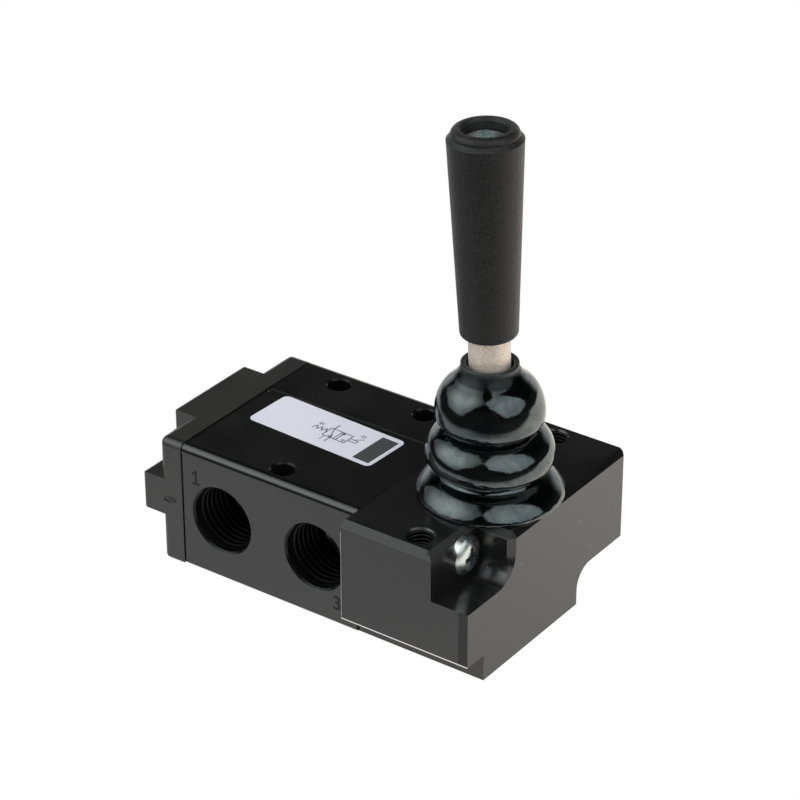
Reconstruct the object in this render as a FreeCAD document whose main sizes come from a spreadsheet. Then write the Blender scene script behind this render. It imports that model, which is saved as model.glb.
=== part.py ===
import FreeCAD, Part
import math
import os
import Sketcher

# Hand lever air valve, spool type, three ports and two positions.
# Millimetres and degrees. X runs along the spool towards the lever, ports 1 and 3 face -Y,
# port 2 faces +Y, Z is up. The origin is the middle of the valve body's underside.

# Driving sizes. Names that end in _z are heights over the base, and in _x are places along the spool.
SIZES = {
    # Valve body: a drilled aluminium block
    "body_length": 40.3,
    "body_width": 40.5,
    "body_height": 26.0,
    "body_edge_radius": 1.5,
    "bead_width": 1.75,
    "side_recess": 0.17,
    "label_recess": 0.22,
    "label_recess_edge": 6.8,
    "base_edge_radius": 0.4,
    "port_axis_drop": 0.5,
    "port_pitch": 21.7,
    "port_offset": 0.3,
    "port_thread_radius": 6.58,
    "port_thread_depth": 11.0,
    "port_mouth_radius": 7.0,
    "port_drill_radius": 4.4,
    "mounting_hole_radius": 2.25,
    "mounting_hole_pitch": 20.2,
    "mounting_hole_inset_far": 4.8,
    "mounting_hole_inset_near": 4.4,
    "mounting_hole_near_x": 0.4,
    "mounting_hole_chamfer": 0.3,
    "bore_radius": 5.5,
    "chamber_radius": 7.2,
    "chamber_width": 6.8,
    # M4 screws through the end cap and the lever housing
    "screw_radius": 2.0,
    "screw_hole_clearance": 0.2,
    "screw_thread_clearance": 0.02,
    "screw_inset_y": 4.95,
    "screw_inset_top": 4.3,
    "screw_inset_base": 3.7,
    "screw_engagement": 6.0,
    "screw_hole_runout": 0.5,
    "pan_head_radius": 3.7,
    "pan_head_height": 2.2,
    "pan_head_edge": 1.3,
    "drive_width": 0.9,
    "drive_reach": 1.9,
    "drive_depth": 1.5,
    # End cap: plate with a cross-shaped block, moulded
    "cap_plate": 5.4,
    "cap_block": 4.45,
    "cap_upright_width": 20.9,
    "cap_crossbar_height": 7.8,
    "cap_crossbar_rise": 0.2,
    "cap_plate_radius": 1.3,
    "cap_seam_width": 0.3,
    "cap_seam_depth": 0.45,
    "cap_block_radius": 0.8,
    "cap_end_wall": 1.65,
    "cap_chamber_radius": 5.7,
    "cap_screw_head_radius": 3.75,
    "cap_screw_hole_inset_base": 4.3,
    # Face seal rings at both ends of the body
    "seal_ring_radius": 8.3,
    "seal_ring_section": 0.6,
    "seal_groove_depth": 1.2,
    "seal_groove_width": 1.5,
    # Lever housing: machined block that overhangs the body on both sides
    "housing_length": 27.8,
    "overhang_near": 4.55,
    "overhang_far": 6.25,
    "housing_chamfer": 1.2,
    "housing_end_chamfer": 1.1,
    "housing_back_chamfer": 0.35,
    "housing_far_chamfer": 0.5,
    "chamfer_cutter_radius": 2.0,
    "foot_inset": 0.6,
    "foot_height": 5.35,
    "pocket_length": 8.0,
    "pocket_radius": 4.3,
    "near_pocket_width": 13.8,
    "near_pocket_depth": 9.5,
    "far_pocket_width": 15.55,
    "far_pocket_height": 7.4,
    "top_thread_radius": 2.5,
    "top_thread_depth": 9.0,
    "top_thread_mouth": 0.3,
    "top_thread_inset_near": 4.45,
    "top_thread_inset_far": 3.6,
    "top_thread_x": 34.5,
    "plunger_bore_end_wall": 3.35,
    "spool_end_relief": 2.2,
    # Pivot carrier, its pin and its retaining ring
    "pivot_x": 36.2,
    "pivot_drop": 3.6,
    "carrier_radius": 9.45,
    "carrier_floor": 0.65,
    "carrier_seat_clearance": 0.05,
    "carrier_top_gap": 1.3,
    "carrier_neck_radius": 8.25,
    "carrier_neck_height": 1.8,
    "carrier_slot_front": 6.6,
    "carrier_slot_back": 4.8,
    "lever_side_clearance": 0.3,
    "bead_groove_depth": 0.95,
    "bead_groove_height": 0.8,
    "bead_groove_rise": 0.5,
    "ring_thickness": 1.0,
    "ring_reach": 0.6,
    "ring_width": 1.5,
    "ring_groove_clearance": 0.05,
    "ring_gap_angle": 40.0,
    "pin_radius": 1.5,
    "pin_end_clearance": 0.3,
    "pin_running_clearance": 0.05,
    "pin_seat_clearance": 0.01,
    "bush_wall": 0.75,
    "bush_length": 6.0,
    # Lever rod, leaning back at rest
    "rest_lean": 2.1,
    "lever_travel": 24.0,
    "rod_radius": 3.8,
    "rod_shoulder_drop": 2.4,
    "rod_cone_height": 2.0,
    "rod_neck_radius": 2.0,
    "ball_radius": 3.2,
    "ball_clearance": 0.1,
    "rod_top_chamfer": 0.5,
    # Knob, screwed down on the rod's end
    "knob_bottom": 35.3,
    "knob_length": 39.5,
    "knob_bottom_radius": 5.3,
    "knob_top_radius": 6.83,
    "knob_bottom_round": 0.9,
    "knob_rim_drop": 2.1,
    "knob_rim_width": 0.75,
    "knob_shoulder_rise": 0.7,
    "knob_rim_round": 1.2,
    "knob_recess_radius": 4.1,
    "knob_recess_depth": 3.4,
    "knob_web": 3.0,
    "knob_rod_clearance": 0.03,
    "knob_screw_grip": 9.0,
    # Boot: rubber bellows, heights over the housing's top
    "boot_x": 35.6,
    "boot_wall": 1.1,
    "boot_base_radius": 12.6,
    "boot_lip_radius": 13.3,
    "boot_lip_rise": 0.7,
    "boot_lip_thickness": 0.4,
    "boot_crease_radius": 0.8,
    "boot_bulge_depth": 1.0,
    "boot_bulge_half_height": 2.8,
    "boot_lower_crease": 9.5,
    "boot_lower_crease_rise": 4.7,
    "boot_lower_bulge": 11.4,
    "boot_lower_bulge_rise": 8.4,
    "boot_upper_crease": 8.5,
    "boot_upper_crease_rise": 12.7,
    "boot_upper_bulge": 9.8,
    "boot_upper_bulge_rise": 17.4,
    "boot_neck_radius": 5.1,
    "boot_neck_rise": 23.9,
    "boot_neck_length": 0.8,
    "boot_collar_radius": 5.2,
    "boot_collar_rise": 25.7,
    "boot_neck_bore": 4.5,
    # Spool, its seals and the return spring
    "spool_clearance": 0.06,
    "spool_neck_radius": 3.0,
    "land_width": 3.4,
    "seal_section": 0.9,
    "seal_squeeze_gap": 0.03,
    "port_seal_overlap": 1.0,
    "port_seal_opening": 2.85,
    "end_seal_inset": 0.95,
    "seat_stub_radius": 2.2,
    "seat_stub_length": 2.0,
    "seat_flange_radius": 4.9,
    "seat_flange_thickness": 1.2,
    "seat_sleeve_radius": 3.2,
    "seat_sleeve_length": 1.6,
    "fit_clearance": 0.03,
    "spring_wire_radius": 0.45,
    "spring_radius": 4.2,
    "spring_turns": 5.0,
    "spring_end_gap": 0.08,
    # Plunger between the lever's ball and the spool
    "plunger_radius": 5.0,
    "plunger_clearance": 0.05,
    "plunger_start": 6.0,
    "plunger_stop_gap": 0.1,
    "plunger_chamfer": 0.4,
    "plunger_flat_rise": 2.4,
    "plunger_flat_reach": 6.0,
    "plunger_pocket_reach": 3.5,
    "plunger_pocket_floor": 3.6,
}

doc = FreeCAD.newDocument("hand_lever_air_valve")
sheet = doc.addObject("Spreadsheet::Sheet", "dim")
for row, (alias, value) in enumerate(SIZES.items(), start=1):
    sheet.set(f"A{row}", alias)
    sheet.set(f"B{row}", str(value))
    sheet.setAlias(f"B{row}", alias)
doc.recompute()

# Places that several pieces share, as expressions of the driving sizes
BODY_END = "dim.body_length / 2"
SIDE = "(dim.body_width / 2 - dim.side_recess)"
NEAR_FACE = "-(dim.body_width / 2 + dim.overhang_near)"
FAR_FACE = "(dim.body_width / 2 + dim.overhang_far)"
HOUSING_END = "(dim.body_length / 2 + dim.housing_length)"
POCKET_WALL_X = f"({HOUSING_END} - dim.pocket_length)"
BORE_END = f"({HOUSING_END} - dim.plunger_bore_end_wall)"
CAP_FACE = "-(dim.body_length / 2 + dim.cap_plate)"
CAP_END = "-(dim.body_length / 2 + dim.cap_plate + dim.cap_block)"
CHAMBER_END = f"({CAP_END} + dim.cap_end_wall)"
AXIS_Z = "(dim.body_height / 2)"
PORT_Z = f"({AXIS_Z} - dim.port_axis_drop)"
PIVOT_Z = "(dim.body_height - dim.pivot_drop)"
LEVER_ARM = f"({PIVOT_Z} - {AXIS_Z})"
CARRIER_TOP = "(dim.body_height - dim.carrier_top_gap)"
CARRIER_BASE = f"({AXIS_Z} + dim.plunger_radius + dim.plunger_clearance + dim.carrier_floor)"
SCREW_Y = "(dim.body_width / 2 - dim.screw_inset_y)"
SCREW_TOP_Z = "(dim.body_height - dim.screw_inset_top)"
PORT_SEAL_X = "(dim.port_pitch - dim.chamber_width) / 2 - dim.port_seal_overlap"
BALL_REST_X = f"(dim.pivot_x + {LEVER_ARM} * sin(dim.rest_lean))"
LAND_RADIUS = "(dim.bore_radius - dim.spool_clearance)"
SEAL_RADIUS = "(dim.bore_radius - dim.seal_squeeze_gap - dim.seal_section)"
ROD_TOP = "(dim.knob_bottom + dim.knob_length - dim.knob_recess_depth - dim.knob_web)"
SCREW_SEAT = "(dim.knob_bottom + dim.knob_length - dim.knob_recess_depth)"


def number(expression):
    """The value of an expression of the driving sizes."""
    return float(sheet.evalExpression(expression))


def new_body(label):
    """An empty body that becomes one piece."""
    body = doc.addObject("PartDesign::Body", label)
    body.Label = label
    return body


def new_sketch(body, name, role, **shift):
    """A sketch on one of the body's own planes, shifted along that plane's x, y and z."""
    sketch = body.newObject("Sketcher::SketchObject", name)
    plane = next(item for item in body.Origin.OriginFeatures if item.Role == role)
    sketch.AttachmentSupport = [(plane, "")]
    sketch.MapMode = "FlatFace"
    for axis, expression in shift.items():
        sketch.setExpression(f"AttachmentOffset.Base.{axis}", expression)
    return sketch


def arc_through(start, end, radius, side):
    """An arc from start to end: side 1 turns left along the outline, side -1 turns right."""
    half = (end - start) * 0.5
    across = FreeCAD.Vector(-half.y, half.x, 0).normalize()
    centre = start + half + across * side * math.sqrt(max(radius**2 - half.Length**2, 0.0))
    circle = Part.Circle(centre, FreeCAD.Vector(0, 0, 1), radius)
    first, last = circle.parameter(start), circle.parameter(end)
    if side < 0:
        first, last = last, first
    if last < first:
        last += 2 * math.pi
    return Part.ArcOfCircle(circle, first, last)


def outline(sketch, corners):
    """A closed outline through corners (u, v), or (u, v, radius, side) where an arc starts there."""
    places = [FreeCAD.Vector(number(c[0]), number(c[1]), 0) for c in corners]
    count = len(corners)
    first_edge = sketch.GeometryCount
    ends = []
    for index, corner in enumerate(corners):
        start, end = places[index], places[(index + 1) % count]
        if len(corner) == 2:
            sketch.addGeometry(Part.LineSegment(start, end), False)
            ends.append((1, 2))
        else:
            sketch.addGeometry(arc_through(start, end, number(corner[2]), corner[3]), False)
            ends.append((1, 2) if corner[3] > 0 else (2, 1))
    for index in range(count):
        following = (index + 1) % count
        sketch.addConstraint(Sketcher.Constraint(
            "Coincident", first_edge + index, ends[index][1], first_edge + following, ends[following][0]))
    for index, corner in enumerate(corners):
        edge, point = first_edge + index, ends[index][0]
        across = sketch.addConstraint(Sketcher.Constraint("DistanceX", -1, 1, edge, point, places[index].x))
        sketch.setExpression(f"Constraints[{across}]", corner[0])
        up = sketch.addConstraint(Sketcher.Constraint("DistanceY", -1, 1, edge, point, places[index].y))
        sketch.setExpression(f"Constraints[{up}]", corner[1])
        if len(corner) > 2:
            bend = sketch.addConstraint(Sketcher.Constraint("Radius", edge, number(corner[2])))
            sketch.setExpression(f"Constraints[{bend}]", corner[2])


def rectangle(sketch, left, bottom, right, top):
    """A closed rectangle between two corners given as expressions."""
    outline(sketch, [(left, bottom), (right, bottom), (right, top), (left, top)])


def circle(sketch, across, up, radius):
    """A circle whose centre and radius are expressions."""
    centre = FreeCAD.Vector(number(across), number(up), 0)
    edge = sketch.addGeometry(Part.Circle(centre, FreeCAD.Vector(0, 0, 1), number(radius)), False)
    for kind, place, expression in (("DistanceX", centre.x, across), ("DistanceY", centre.y, up)):
        held = sketch.addConstraint(Sketcher.Constraint(kind, -1, 1, edge, 3, place))
        sketch.setExpression(f"Constraints[{held}]", expression)
    size = sketch.addConstraint(Sketcher.Constraint("Radius", edge, number(radius)))
    sketch.setExpression(f"Constraints[{size}]", radius)


def pad(body, name, sketch, length):
    """Extrude a sketch along its plane's normal."""
    feature = body.newObject("PartDesign::Pad", name)
    feature.Profile = sketch
    feature.setExpression("Length", length)
    return feature


def pocket(body, name, sketch, length=None, forwards=False):
    """Cut a sketch away, against its plane's normal unless forwards, and right through without a length."""
    feature = body.newObject("PartDesign::Pocket", name)
    feature.Profile = sketch
    feature.Reversed = forwards
    if length is None:
        feature.Type = "ThroughAll"
    else:
        feature.setExpression("Length", length)
    return feature


def turned(body, name, sketch, axis, cut=False):
    """Turn a sketch about its own H_Axis or V_Axis, to add material or to cut it away."""
    kind = "PartDesign::Groove" if cut else "PartDesign::Revolution"
    feature = body.newObject(kind, name)
    feature.Profile = sketch
    feature.ReferenceAxis = (sketch, [axis])
    feature.Angle = 360.0
    return feature


def dress(body, kind, name, size, chosen):
    """Fillet or chamfer the edges of the body so far that the test picks."""
    doc.recompute()
    base = body.Tip
    picked = [f"Edge{i}" for i, edge in enumerate(base.Shape.Edges, start=1) if chosen(edge)]
    feature = body.newObject(f"PartDesign::{kind}", name)
    feature.Base = (base, picked)
    feature.setExpression("Radius" if kind == "Fillet" else "Size", size)
    return feature


def runs_along(edge, axis):
    """True for a straight edge parallel to the axis."""
    if not isinstance(edge.Curve, Part.Line):
        return False
    return abs(edge.Curve.Direction.dot(axis)) > 0.999


def near(value, expression):
    """True where a coordinate is at the place that an expression gives."""
    return abs(value - number(expression)) < 0.01


X_AXIS = FreeCAD.Vector(1, 0, 0)
Y_AXIS = FreeCAD.Vector(0, 1, 0)
Z_AXIS = FreeCAD.Vector(0, 0, 1)


def make_valve_body():
    """Aluminium block with beaded top edges, spool bore, three ports and its mounting holes."""
    body = new_body("valve_body")
    section = new_sketch(body, "body_section", "YZ_Plane", z=f"-{BODY_END}")
    width, height = "dim.body_width / 2", "dim.body_height"
    bead_low = "dim.body_height - dim.bead_width"
    label_top = "dim.body_height - dim.label_recess"
    outline(section, [
        (f"-{SIDE}", "0"),
        (SIDE, "0"),
        (SIDE, bead_low),
        (width, bead_low),
        (width, height),
        ("dim.label_recess_edge", height),
        ("dim.label_recess_edge", label_top),
        (f"-({width} - dim.bead_width)", label_top),
        (f"-({width} - dim.bead_width)", height),
        (f"-{width}", height),
        (f"-{width}", bead_low),
        (f"-{SIDE}", bead_low),
    ])
    pad(body, "body_block", section, "dim.body_length")

    def top_corner(edge):
        middle = edge.CenterOfMass
        return runs_along(edge, X_AXIS) and near(abs(middle.y), width) and near(middle.z, height)

    def base_corner(edge):
        middle = edge.CenterOfMass
        return runs_along(edge, X_AXIS) and near(abs(middle.y), SIDE) and near(middle.z, "0")

    dress(body, "Fillet", "top_edges", "dim.body_edge_radius", top_corner)
    dress(body, "Fillet", "base_edges", "dim.base_edge_radius", base_corner)

    bore = new_sketch(body, "bore_section", "XZ_Plane", y=AXIS_Z)
    steps = [(f"-{BODY_END}", "0"), (f"-{BODY_END}", "dim.bore_radius")]
    for station in ("-dim.port_pitch / 2", "0", "dim.port_pitch / 2"):
        start = f"{station} - dim.chamber_width / 2"
        end = f"{station} + dim.chamber_width / 2"
        steps += [(start, "dim.bore_radius"), (start, "dim.chamber_radius")]
        steps += [(end, "dim.chamber_radius"), (end, "dim.bore_radius")]
    steps += [(BODY_END, "dim.bore_radius"), (BODY_END, "0")]
    outline(bore, steps)
    turned(body, "spool_bore", bore, "H_Axis", cut=True)

    ports = (
        ("port_1", "-dim.port_pitch / 2 - dim.port_offset", "-"),
        ("port_2", "-dim.port_offset", ""),
        ("port_3", "dim.port_pitch / 2 - dim.port_offset", "-"),
    )
    for name, place, facing in ports:
        profile = new_sketch(body, f"{name}_section", "XY_Plane", x=place, z=PORT_Z)
        mouth_end = f"{SIDE} - (dim.port_mouth_radius - dim.port_thread_radius)"
        thread_end = f"{SIDE} - dim.port_thread_depth"
        cone_end = f"{thread_end} - (dim.port_thread_radius - dim.port_drill_radius) / 2"
        outline(profile, [
            ("0", f"{facing}(dim.body_width / 2)"),
            ("dim.port_mouth_radius", f"{facing}(dim.body_width / 2)"),
            ("dim.port_mouth_radius", f"{facing}({SIDE})"),
            ("dim.port_thread_radius", f"{facing}({mouth_end})"),
            ("dim.port_thread_radius", f"{facing}({thread_end})"),
            ("dim.port_drill_radius", f"{facing}({cone_end})"),
            ("dim.port_drill_radius", f"{facing}(dim.chamber_radius / 2)"),
            ("0", f"{facing}(dim.chamber_radius / 2)"),
        ])
        turned(body, name, profile, "V_Axis", cut=True)

    far_y = "dim.body_width / 2 - dim.mounting_hole_inset_far"
    near_y = "-(dim.body_width / 2 - dim.mounting_hole_inset_near)"
    half_pitch = "dim.mounting_hole_pitch / 2"
    places = ((f"-{half_pitch}", far_y), (half_pitch, far_y), ("dim.mounting_hole_near_x", near_y))
    holes = new_sketch(body, "mounting_hole_circles", "XY_Plane", z=height)
    for across, along in places:
        circle(holes, across, along, "dim.mounting_hole_radius")
    pocket(body, "mounting_holes", holes)

    def hole_rim(edge):
        round_edge = isinstance(edge.Curve, Part.Circle) and near(edge.Curve.Radius, "dim.mounting_hole_radius")
        return round_edge and edge.CenterOfMass.z > number(label_top) - 0.01

    dress(body, "Chamfer", "mounting_hole_rims", "dim.mounting_hole_chamfer", hole_rim)

    depth = "dim.screw_engagement + dim.screw_hole_runout"
    thread = "dim.screw_radius + dim.screw_thread_clearance"
    cap_side = new_sketch(body, "cap_screw_circles", "YZ_Plane", z=f"-{BODY_END}")
    circle(cap_side, f"-{SCREW_Y}", SCREW_TOP_Z, thread)
    circle(cap_side, SCREW_Y, "dim.cap_screw_hole_inset_base", thread)
    pocket(body, "cap_screw_threads", cap_side, depth, forwards=True)
    lever_side = new_sketch(body, "housing_screw_circles", "YZ_Plane", z=BODY_END)
    circle(lever_side, f"-{SCREW_Y}", SCREW_TOP_Z, thread)
    circle(lever_side, SCREW_Y, "dim.screw_inset_base", thread)
    pocket(body, "housing_screw_threads", lever_side, depth)


def face_seal_groove(body, name, face_x, inward):
    """Ring groove for the face seal, cut into the joint face at face_x."""
    groove = new_sketch(body, f"{name}_section", "XZ_Plane", y=AXIS_Z)
    inner = "dim.seal_ring_radius - dim.seal_groove_width / 2"
    outer = "dim.seal_ring_radius + dim.seal_groove_width / 2"
    floor = f"{face_x} {inward} dim.seal_groove_depth"
    left, right = (floor, face_x) if inward == "-" else (face_x, floor)
    rectangle(groove, left, inner, right, outer)
    turned(body, name, groove, "H_Axis", cut=True)


def make_end_cap():
    """Moulded cap: a plate the size of the body and a cross-shaped block that holds the spring."""
    body = new_body("end_cap")
    width, height = "dim.body_width / 2", "dim.body_height"
    plate = new_sketch(body, "plate_section", "YZ_Plane", z=CAP_FACE)
    rectangle(plate, f"-{width}", "0", width, height)
    pad(body, "plate", plate, "dim.cap_plate")

    def plate_corner(edge):
        middle = edge.CenterOfMass
        return runs_along(edge, X_AXIS) and near(middle.z, height)

    dress(body, "Fillet", "plate_top_edges", "dim.body_edge_radius", plate_corner)
    dress(body, "Fillet", "plate_rim", "dim.cap_plate_radius", lambda edge: near(edge.BoundBox.XMax, CAP_FACE))

    seam = new_sketch(body, "seam_section", "YZ_Plane", z=f"-{BODY_END}")
    rectangle(seam, f"-({width} + 1)", "-1", f"{width} + 1", f"{height} + 1")
    inset = "dim.cap_seam_depth"
    rectangle(seam, f"-({width} - {inset})", inset, f"{width} - {inset}", f"{height} - {inset}")
    pocket(body, "seam", seam, "dim.cap_seam_width")

    cross = new_sketch(body, "cross_section", "YZ_Plane", z=CAP_END)
    half = "dim.cap_upright_width / 2"
    bar_low = f"{AXIS_Z} + dim.cap_crossbar_rise - dim.cap_crossbar_height / 2"
    bar_high = f"{AXIS_Z} + dim.cap_crossbar_rise + dim.cap_crossbar_height / 2"
    outline(cross, [
        (f"-{half}", "0"), (half, "0"), (half, bar_low), (width, bar_low),
        (width, bar_high), (half, bar_high), (half, height), (f"-{half}", height),
        (f"-{half}", bar_high), (f"-{width}", bar_high), (f"-{width}", bar_low), (f"-{half}", bar_low),
    ])
    pad(body, "cross_block", cross, "dim.cap_block + dim.cap_plate_radius")
    dress(body, "Fillet", "cross_rim", "dim.cap_block_radius", lambda edge: near(edge.BoundBox.XMax, CAP_END))

    chamber = new_sketch(body, "chamber_section", "XZ_Plane", y=AXIS_Z)
    rectangle(chamber, CHAMBER_END, "0", f"-{BODY_END}", "dim.cap_chamber_radius")
    turned(body, "spring_chamber", chamber, "H_Axis", cut=True)
    face_seal_groove(body, "seal_groove", f"-{BODY_END}", "-")

    head, hole = "dim.cap_screw_head_radius", "dim.screw_radius + dim.screw_hole_clearance"
    places = ((f"-{SCREW_Y}", SCREW_TOP_Z), (SCREW_Y, "dim.cap_screw_hole_inset_base"))
    for index, (across, up) in enumerate(places, start=1):
        sunk = new_sketch(body, f"screw_hole_section_{index}", "XZ_Plane", y=up, z=f"-({across})")
        outline(sunk, [
            (CAP_FACE, "0"), (f"-{BODY_END}", "0"), (f"-{BODY_END}", hole),
            (f"{CAP_FACE} + {head} - ({hole})", hole), (CAP_FACE, head),
        ])
        turned(body, f"screw_hole_{index}", sunk, "H_Axis", cut=True)


def make_lever_housing():
    """Machined block: chamfered top, foot under the overhangs, two corner pockets, lever cavity."""
    body = new_body("lever_housing")
    height, chamfer = "dim.body_height", "dim.housing_chamfer"
    foot = f"({SIDE} + dim.side_recess - dim.foot_inset)"
    section = new_sketch(body, "housing_section", "YZ_Plane", z=BODY_END)
    outline(section, [
        (f"-{foot}", "0"),
        (foot, "0"),
        (foot, "dim.foot_height"),
        (FAR_FACE, "dim.foot_height"),
        (FAR_FACE, height),
        (f"{NEAR_FACE} + {chamfer}", height),
        (NEAR_FACE, f"{height} - {chamfer}"),
        (NEAR_FACE, "dim.foot_height"),
        (f"-{foot}", "dim.foot_height"),
    ])
    pad(body, "housing_block", section, "dim.housing_length")

    def top_edge_at(place):
        def chosen(edge):
            middle = edge.CenterOfMass
            return runs_along(edge, Y_AXIS) and near(middle.z, height) and near(middle.x, place)
        return chosen

    end_chamfer = "dim.housing_end_chamfer"
    dress(body, "Chamfer", "end_chamfer", end_chamfer, top_edge_at(HOUSING_END))
    dress(body, "Chamfer", "back_chamfer", "dim.housing_back_chamfer", top_edge_at(BODY_END))

    wall = f"({NEAR_FACE} + dim.near_pocket_width)"
    floor = f"({height} - dim.near_pocket_depth)"
    over = f"({height} + 1)"
    near_cut = new_sketch(body, "near_pocket_section", "YZ_Plane", z=HOUSING_END)
    outline(near_cut, [
        (f"{NEAR_FACE} - 1", floor),
        (f"{wall} - dim.pocket_radius", floor, "dim.pocket_radius", 1),
        (wall, f"{floor} + dim.pocket_radius"),
        (wall, over),
        (f"{NEAR_FACE} - 1", over),
    ])
    pocket(body, "near_top_pocket", near_cut, "dim.pocket_length")

    far_wall = f"({FAR_FACE} - dim.far_pocket_width)"
    far_cut = new_sketch(body, "far_pocket_section", "YZ_Plane", z=HOUSING_END)
    outline(far_cut, [
        (far_wall, "-1"),
        (f"{FAR_FACE} + 1", "-1"),
        (f"{FAR_FACE} + 1", "dim.far_pocket_height"),
        (f"{far_wall} + dim.pocket_radius", "dim.far_pocket_height", "dim.pocket_radius", 1),
        (far_wall, "dim.far_pocket_height - dim.pocket_radius"),
    ])
    pocket(body, "far_base_pocket", far_cut, "dim.pocket_length")

    lead_z = f"({floor} + dim.pocket_radius + {chamfer})"
    lead = new_sketch(body, "pocket_lead_in_section", "XY_Plane", z=over)
    outline(lead, [
        (f"{HOUSING_END} - {chamfer} - 0.5", f"{wall} - 0.5"),
        (f"{HOUSING_END} + 0.5", f"{wall} - 0.5"),
        (f"{HOUSING_END} + 0.5", f"{wall} + {chamfer} + 0.5"),
    ])
    pocket(body, "pocket_lead_in", lead, f"{over} - {lead_z}")
    bend = new_sketch(body, "lead_in_bend_section", "XZ_Plane", y=lead_z, z=f"-({wall} - dim.pocket_radius)")
    outline(bend, [
        (f"{HOUSING_END} - {chamfer}", "dim.pocket_radius"),
        (f"{HOUSING_END} + 0.5", "dim.pocket_radius"),
        (f"{HOUSING_END} + 0.5", f"dim.pocket_radius + {chamfer} + 0.5"),
    ])
    turned(body, "lead_in_bend", bend, "H_Axis", cut=True)
    cutter = "dim.chamfer_cutter_radius"
    side_lead = new_sketch(body, "side_edge_chamfer_section", "YZ_Plane", z=HOUSING_END)
    outline(side_lead, [
        (f"{wall} - 0.5", f"{height} - {chamfer} - 0.5"),
        (f"{wall} + {chamfer} + 0.5", f"{height} + 0.5"),
        (f"{wall} - 0.5", f"{height} + 0.5"),
    ])
    pocket(body, "side_edge_chamfer", side_lead, f"dim.pocket_length - {cutter}")
    back_lead = new_sketch(body, "back_edge_chamfer_section", "XZ_Plane", z=f"-({wall} - {cutter})")
    outline(back_lead, [
        (f"{POCKET_WALL_X} + 0.5", f"{height} - {chamfer} - 0.5"),
        (f"{POCKET_WALL_X} + 0.5", f"{height} + 0.5"),
        (f"{POCKET_WALL_X} - {chamfer} - 0.5", f"{height} + 0.5"),
    ])
    pocket(body, "back_edge_chamfer", back_lead, forwards=True)
    corner = new_sketch(
        body, "corner_chamfer_section", "XZ_Plane", x=f"{POCKET_WALL_X} + {cutter}", z=f"-({wall} - {cutter})")
    outline(corner, [
        ("0", f"{height} - {chamfer}"),
        (cutter, f"{height} - {chamfer}"),
        (f"{cutter} + {chamfer} + 0.5", f"{height} + 0.5"),
        ("0", f"{height} + 0.5"),
    ])
    turned(body, "corner_chamfer", corner, "V_Axis", cut=True)

    def far_end_edge(edge):
        middle = edge.CenterOfMass
        return runs_along(edge, Z_AXIS) and near(middle.x, HOUSING_END) and near(middle.y, FAR_FACE)

    dress(body, "Chamfer", "far_end_chamfer", "dim.housing_far_chamfer", far_end_edge)

    through = "dim.screw_radius + dim.screw_hole_clearance"
    screws = new_sketch(body, "screw_circles", "YZ_Plane", z=POCKET_WALL_X)
    circle(screws, f"-{SCREW_Y}", SCREW_TOP_Z, through)
    circle(screws, SCREW_Y, "dim.screw_inset_base", through)
    pocket(body, "screw_holes", screws, "dim.housing_length")

    bore = new_sketch(body, "plunger_bore_section", "XZ_Plane", y=AXIS_Z)
    bore_radius = "dim.plunger_radius + dim.plunger_clearance"
    relief = f"{BODY_END} + dim.spool_end_relief"
    outline(bore, [
        (BODY_END, "0"), (BORE_END, "0"), (BORE_END, bore_radius),
        (relief, bore_radius), (relief, "dim.cap_chamber_radius"), (BODY_END, "dim.cap_chamber_radius"),
    ])
    turned(body, "plunger_bore", bore, "H_Axis", cut=True)
    face_seal_groove(body, "seal_groove_lever_end", BODY_END, "+")

    seat = new_sketch(body, "carrier_seat_section", "XZ_Plane", x="dim.pivot_x")
    seat_radius = "dim.carrier_radius + dim.carrier_seat_clearance"
    groove_radius = "dim.carrier_radius + dim.ring_reach + dim.ring_groove_clearance"
    groove_top = f"{CARRIER_TOP} + dim.ring_thickness + dim.ring_groove_clearance"
    outline(seat, [
        ("0", CARRIER_BASE),
        (seat_radius, CARRIER_BASE),
        (seat_radius, CARRIER_TOP),
        (groove_radius, CARRIER_TOP),
        (groove_radius, groove_top),
        (seat_radius, groove_top),
        (seat_radius, over),
        ("0", over),
    ])
    turned(body, "carrier_seat", seat, "V_Axis", cut=True)

    slot = new_sketch(body, "ball_slot_outline", "XY_Plane", z=CARRIER_BASE)
    reach = "dim.ball_radius + 5 * dim.ball_clearance"
    back = f"{BALL_REST_X} - {LEVER_ARM} * (sin(dim.rest_lean) + sin(dim.lever_travel - dim.rest_lean))"
    outline(slot, [
        (back, f"-({reach})"),
        (BALL_REST_X, f"-({reach})", reach, 1),
        (f"{BALL_REST_X} + {reach}", "0", reach, 1),
        (BALL_REST_X, reach),
        (back, reach, reach, 1),
        (f"{back} - ({reach})", "0", reach, 1),
    ])
    pocket(body, "ball_slot", slot, f"{CARRIER_BASE} - {AXIS_Z}")

    threads = new_sketch(body, "top_thread_circles", "XY_Plane", z=height)
    circle(threads, "dim.top_thread_x", f"{NEAR_FACE} + dim.top_thread_inset_near", "dim.top_thread_radius")
    circle(threads, "dim.top_thread_x", f"{FAR_FACE} - dim.top_thread_inset_far", "dim.top_thread_radius")
    pocket(body, "top_threads", threads, "dim.top_thread_depth")

    def thread_rim(edge):
        round_edge = isinstance(edge.Curve, Part.Circle) and near(edge.Curve.Radius, "dim.top_thread_radius")
        return round_edge and near(edge.CenterOfMass.z, height)

    dress(body, "Chamfer", "top_thread_mouths", "dim.top_thread_mouth", thread_rim)


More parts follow.
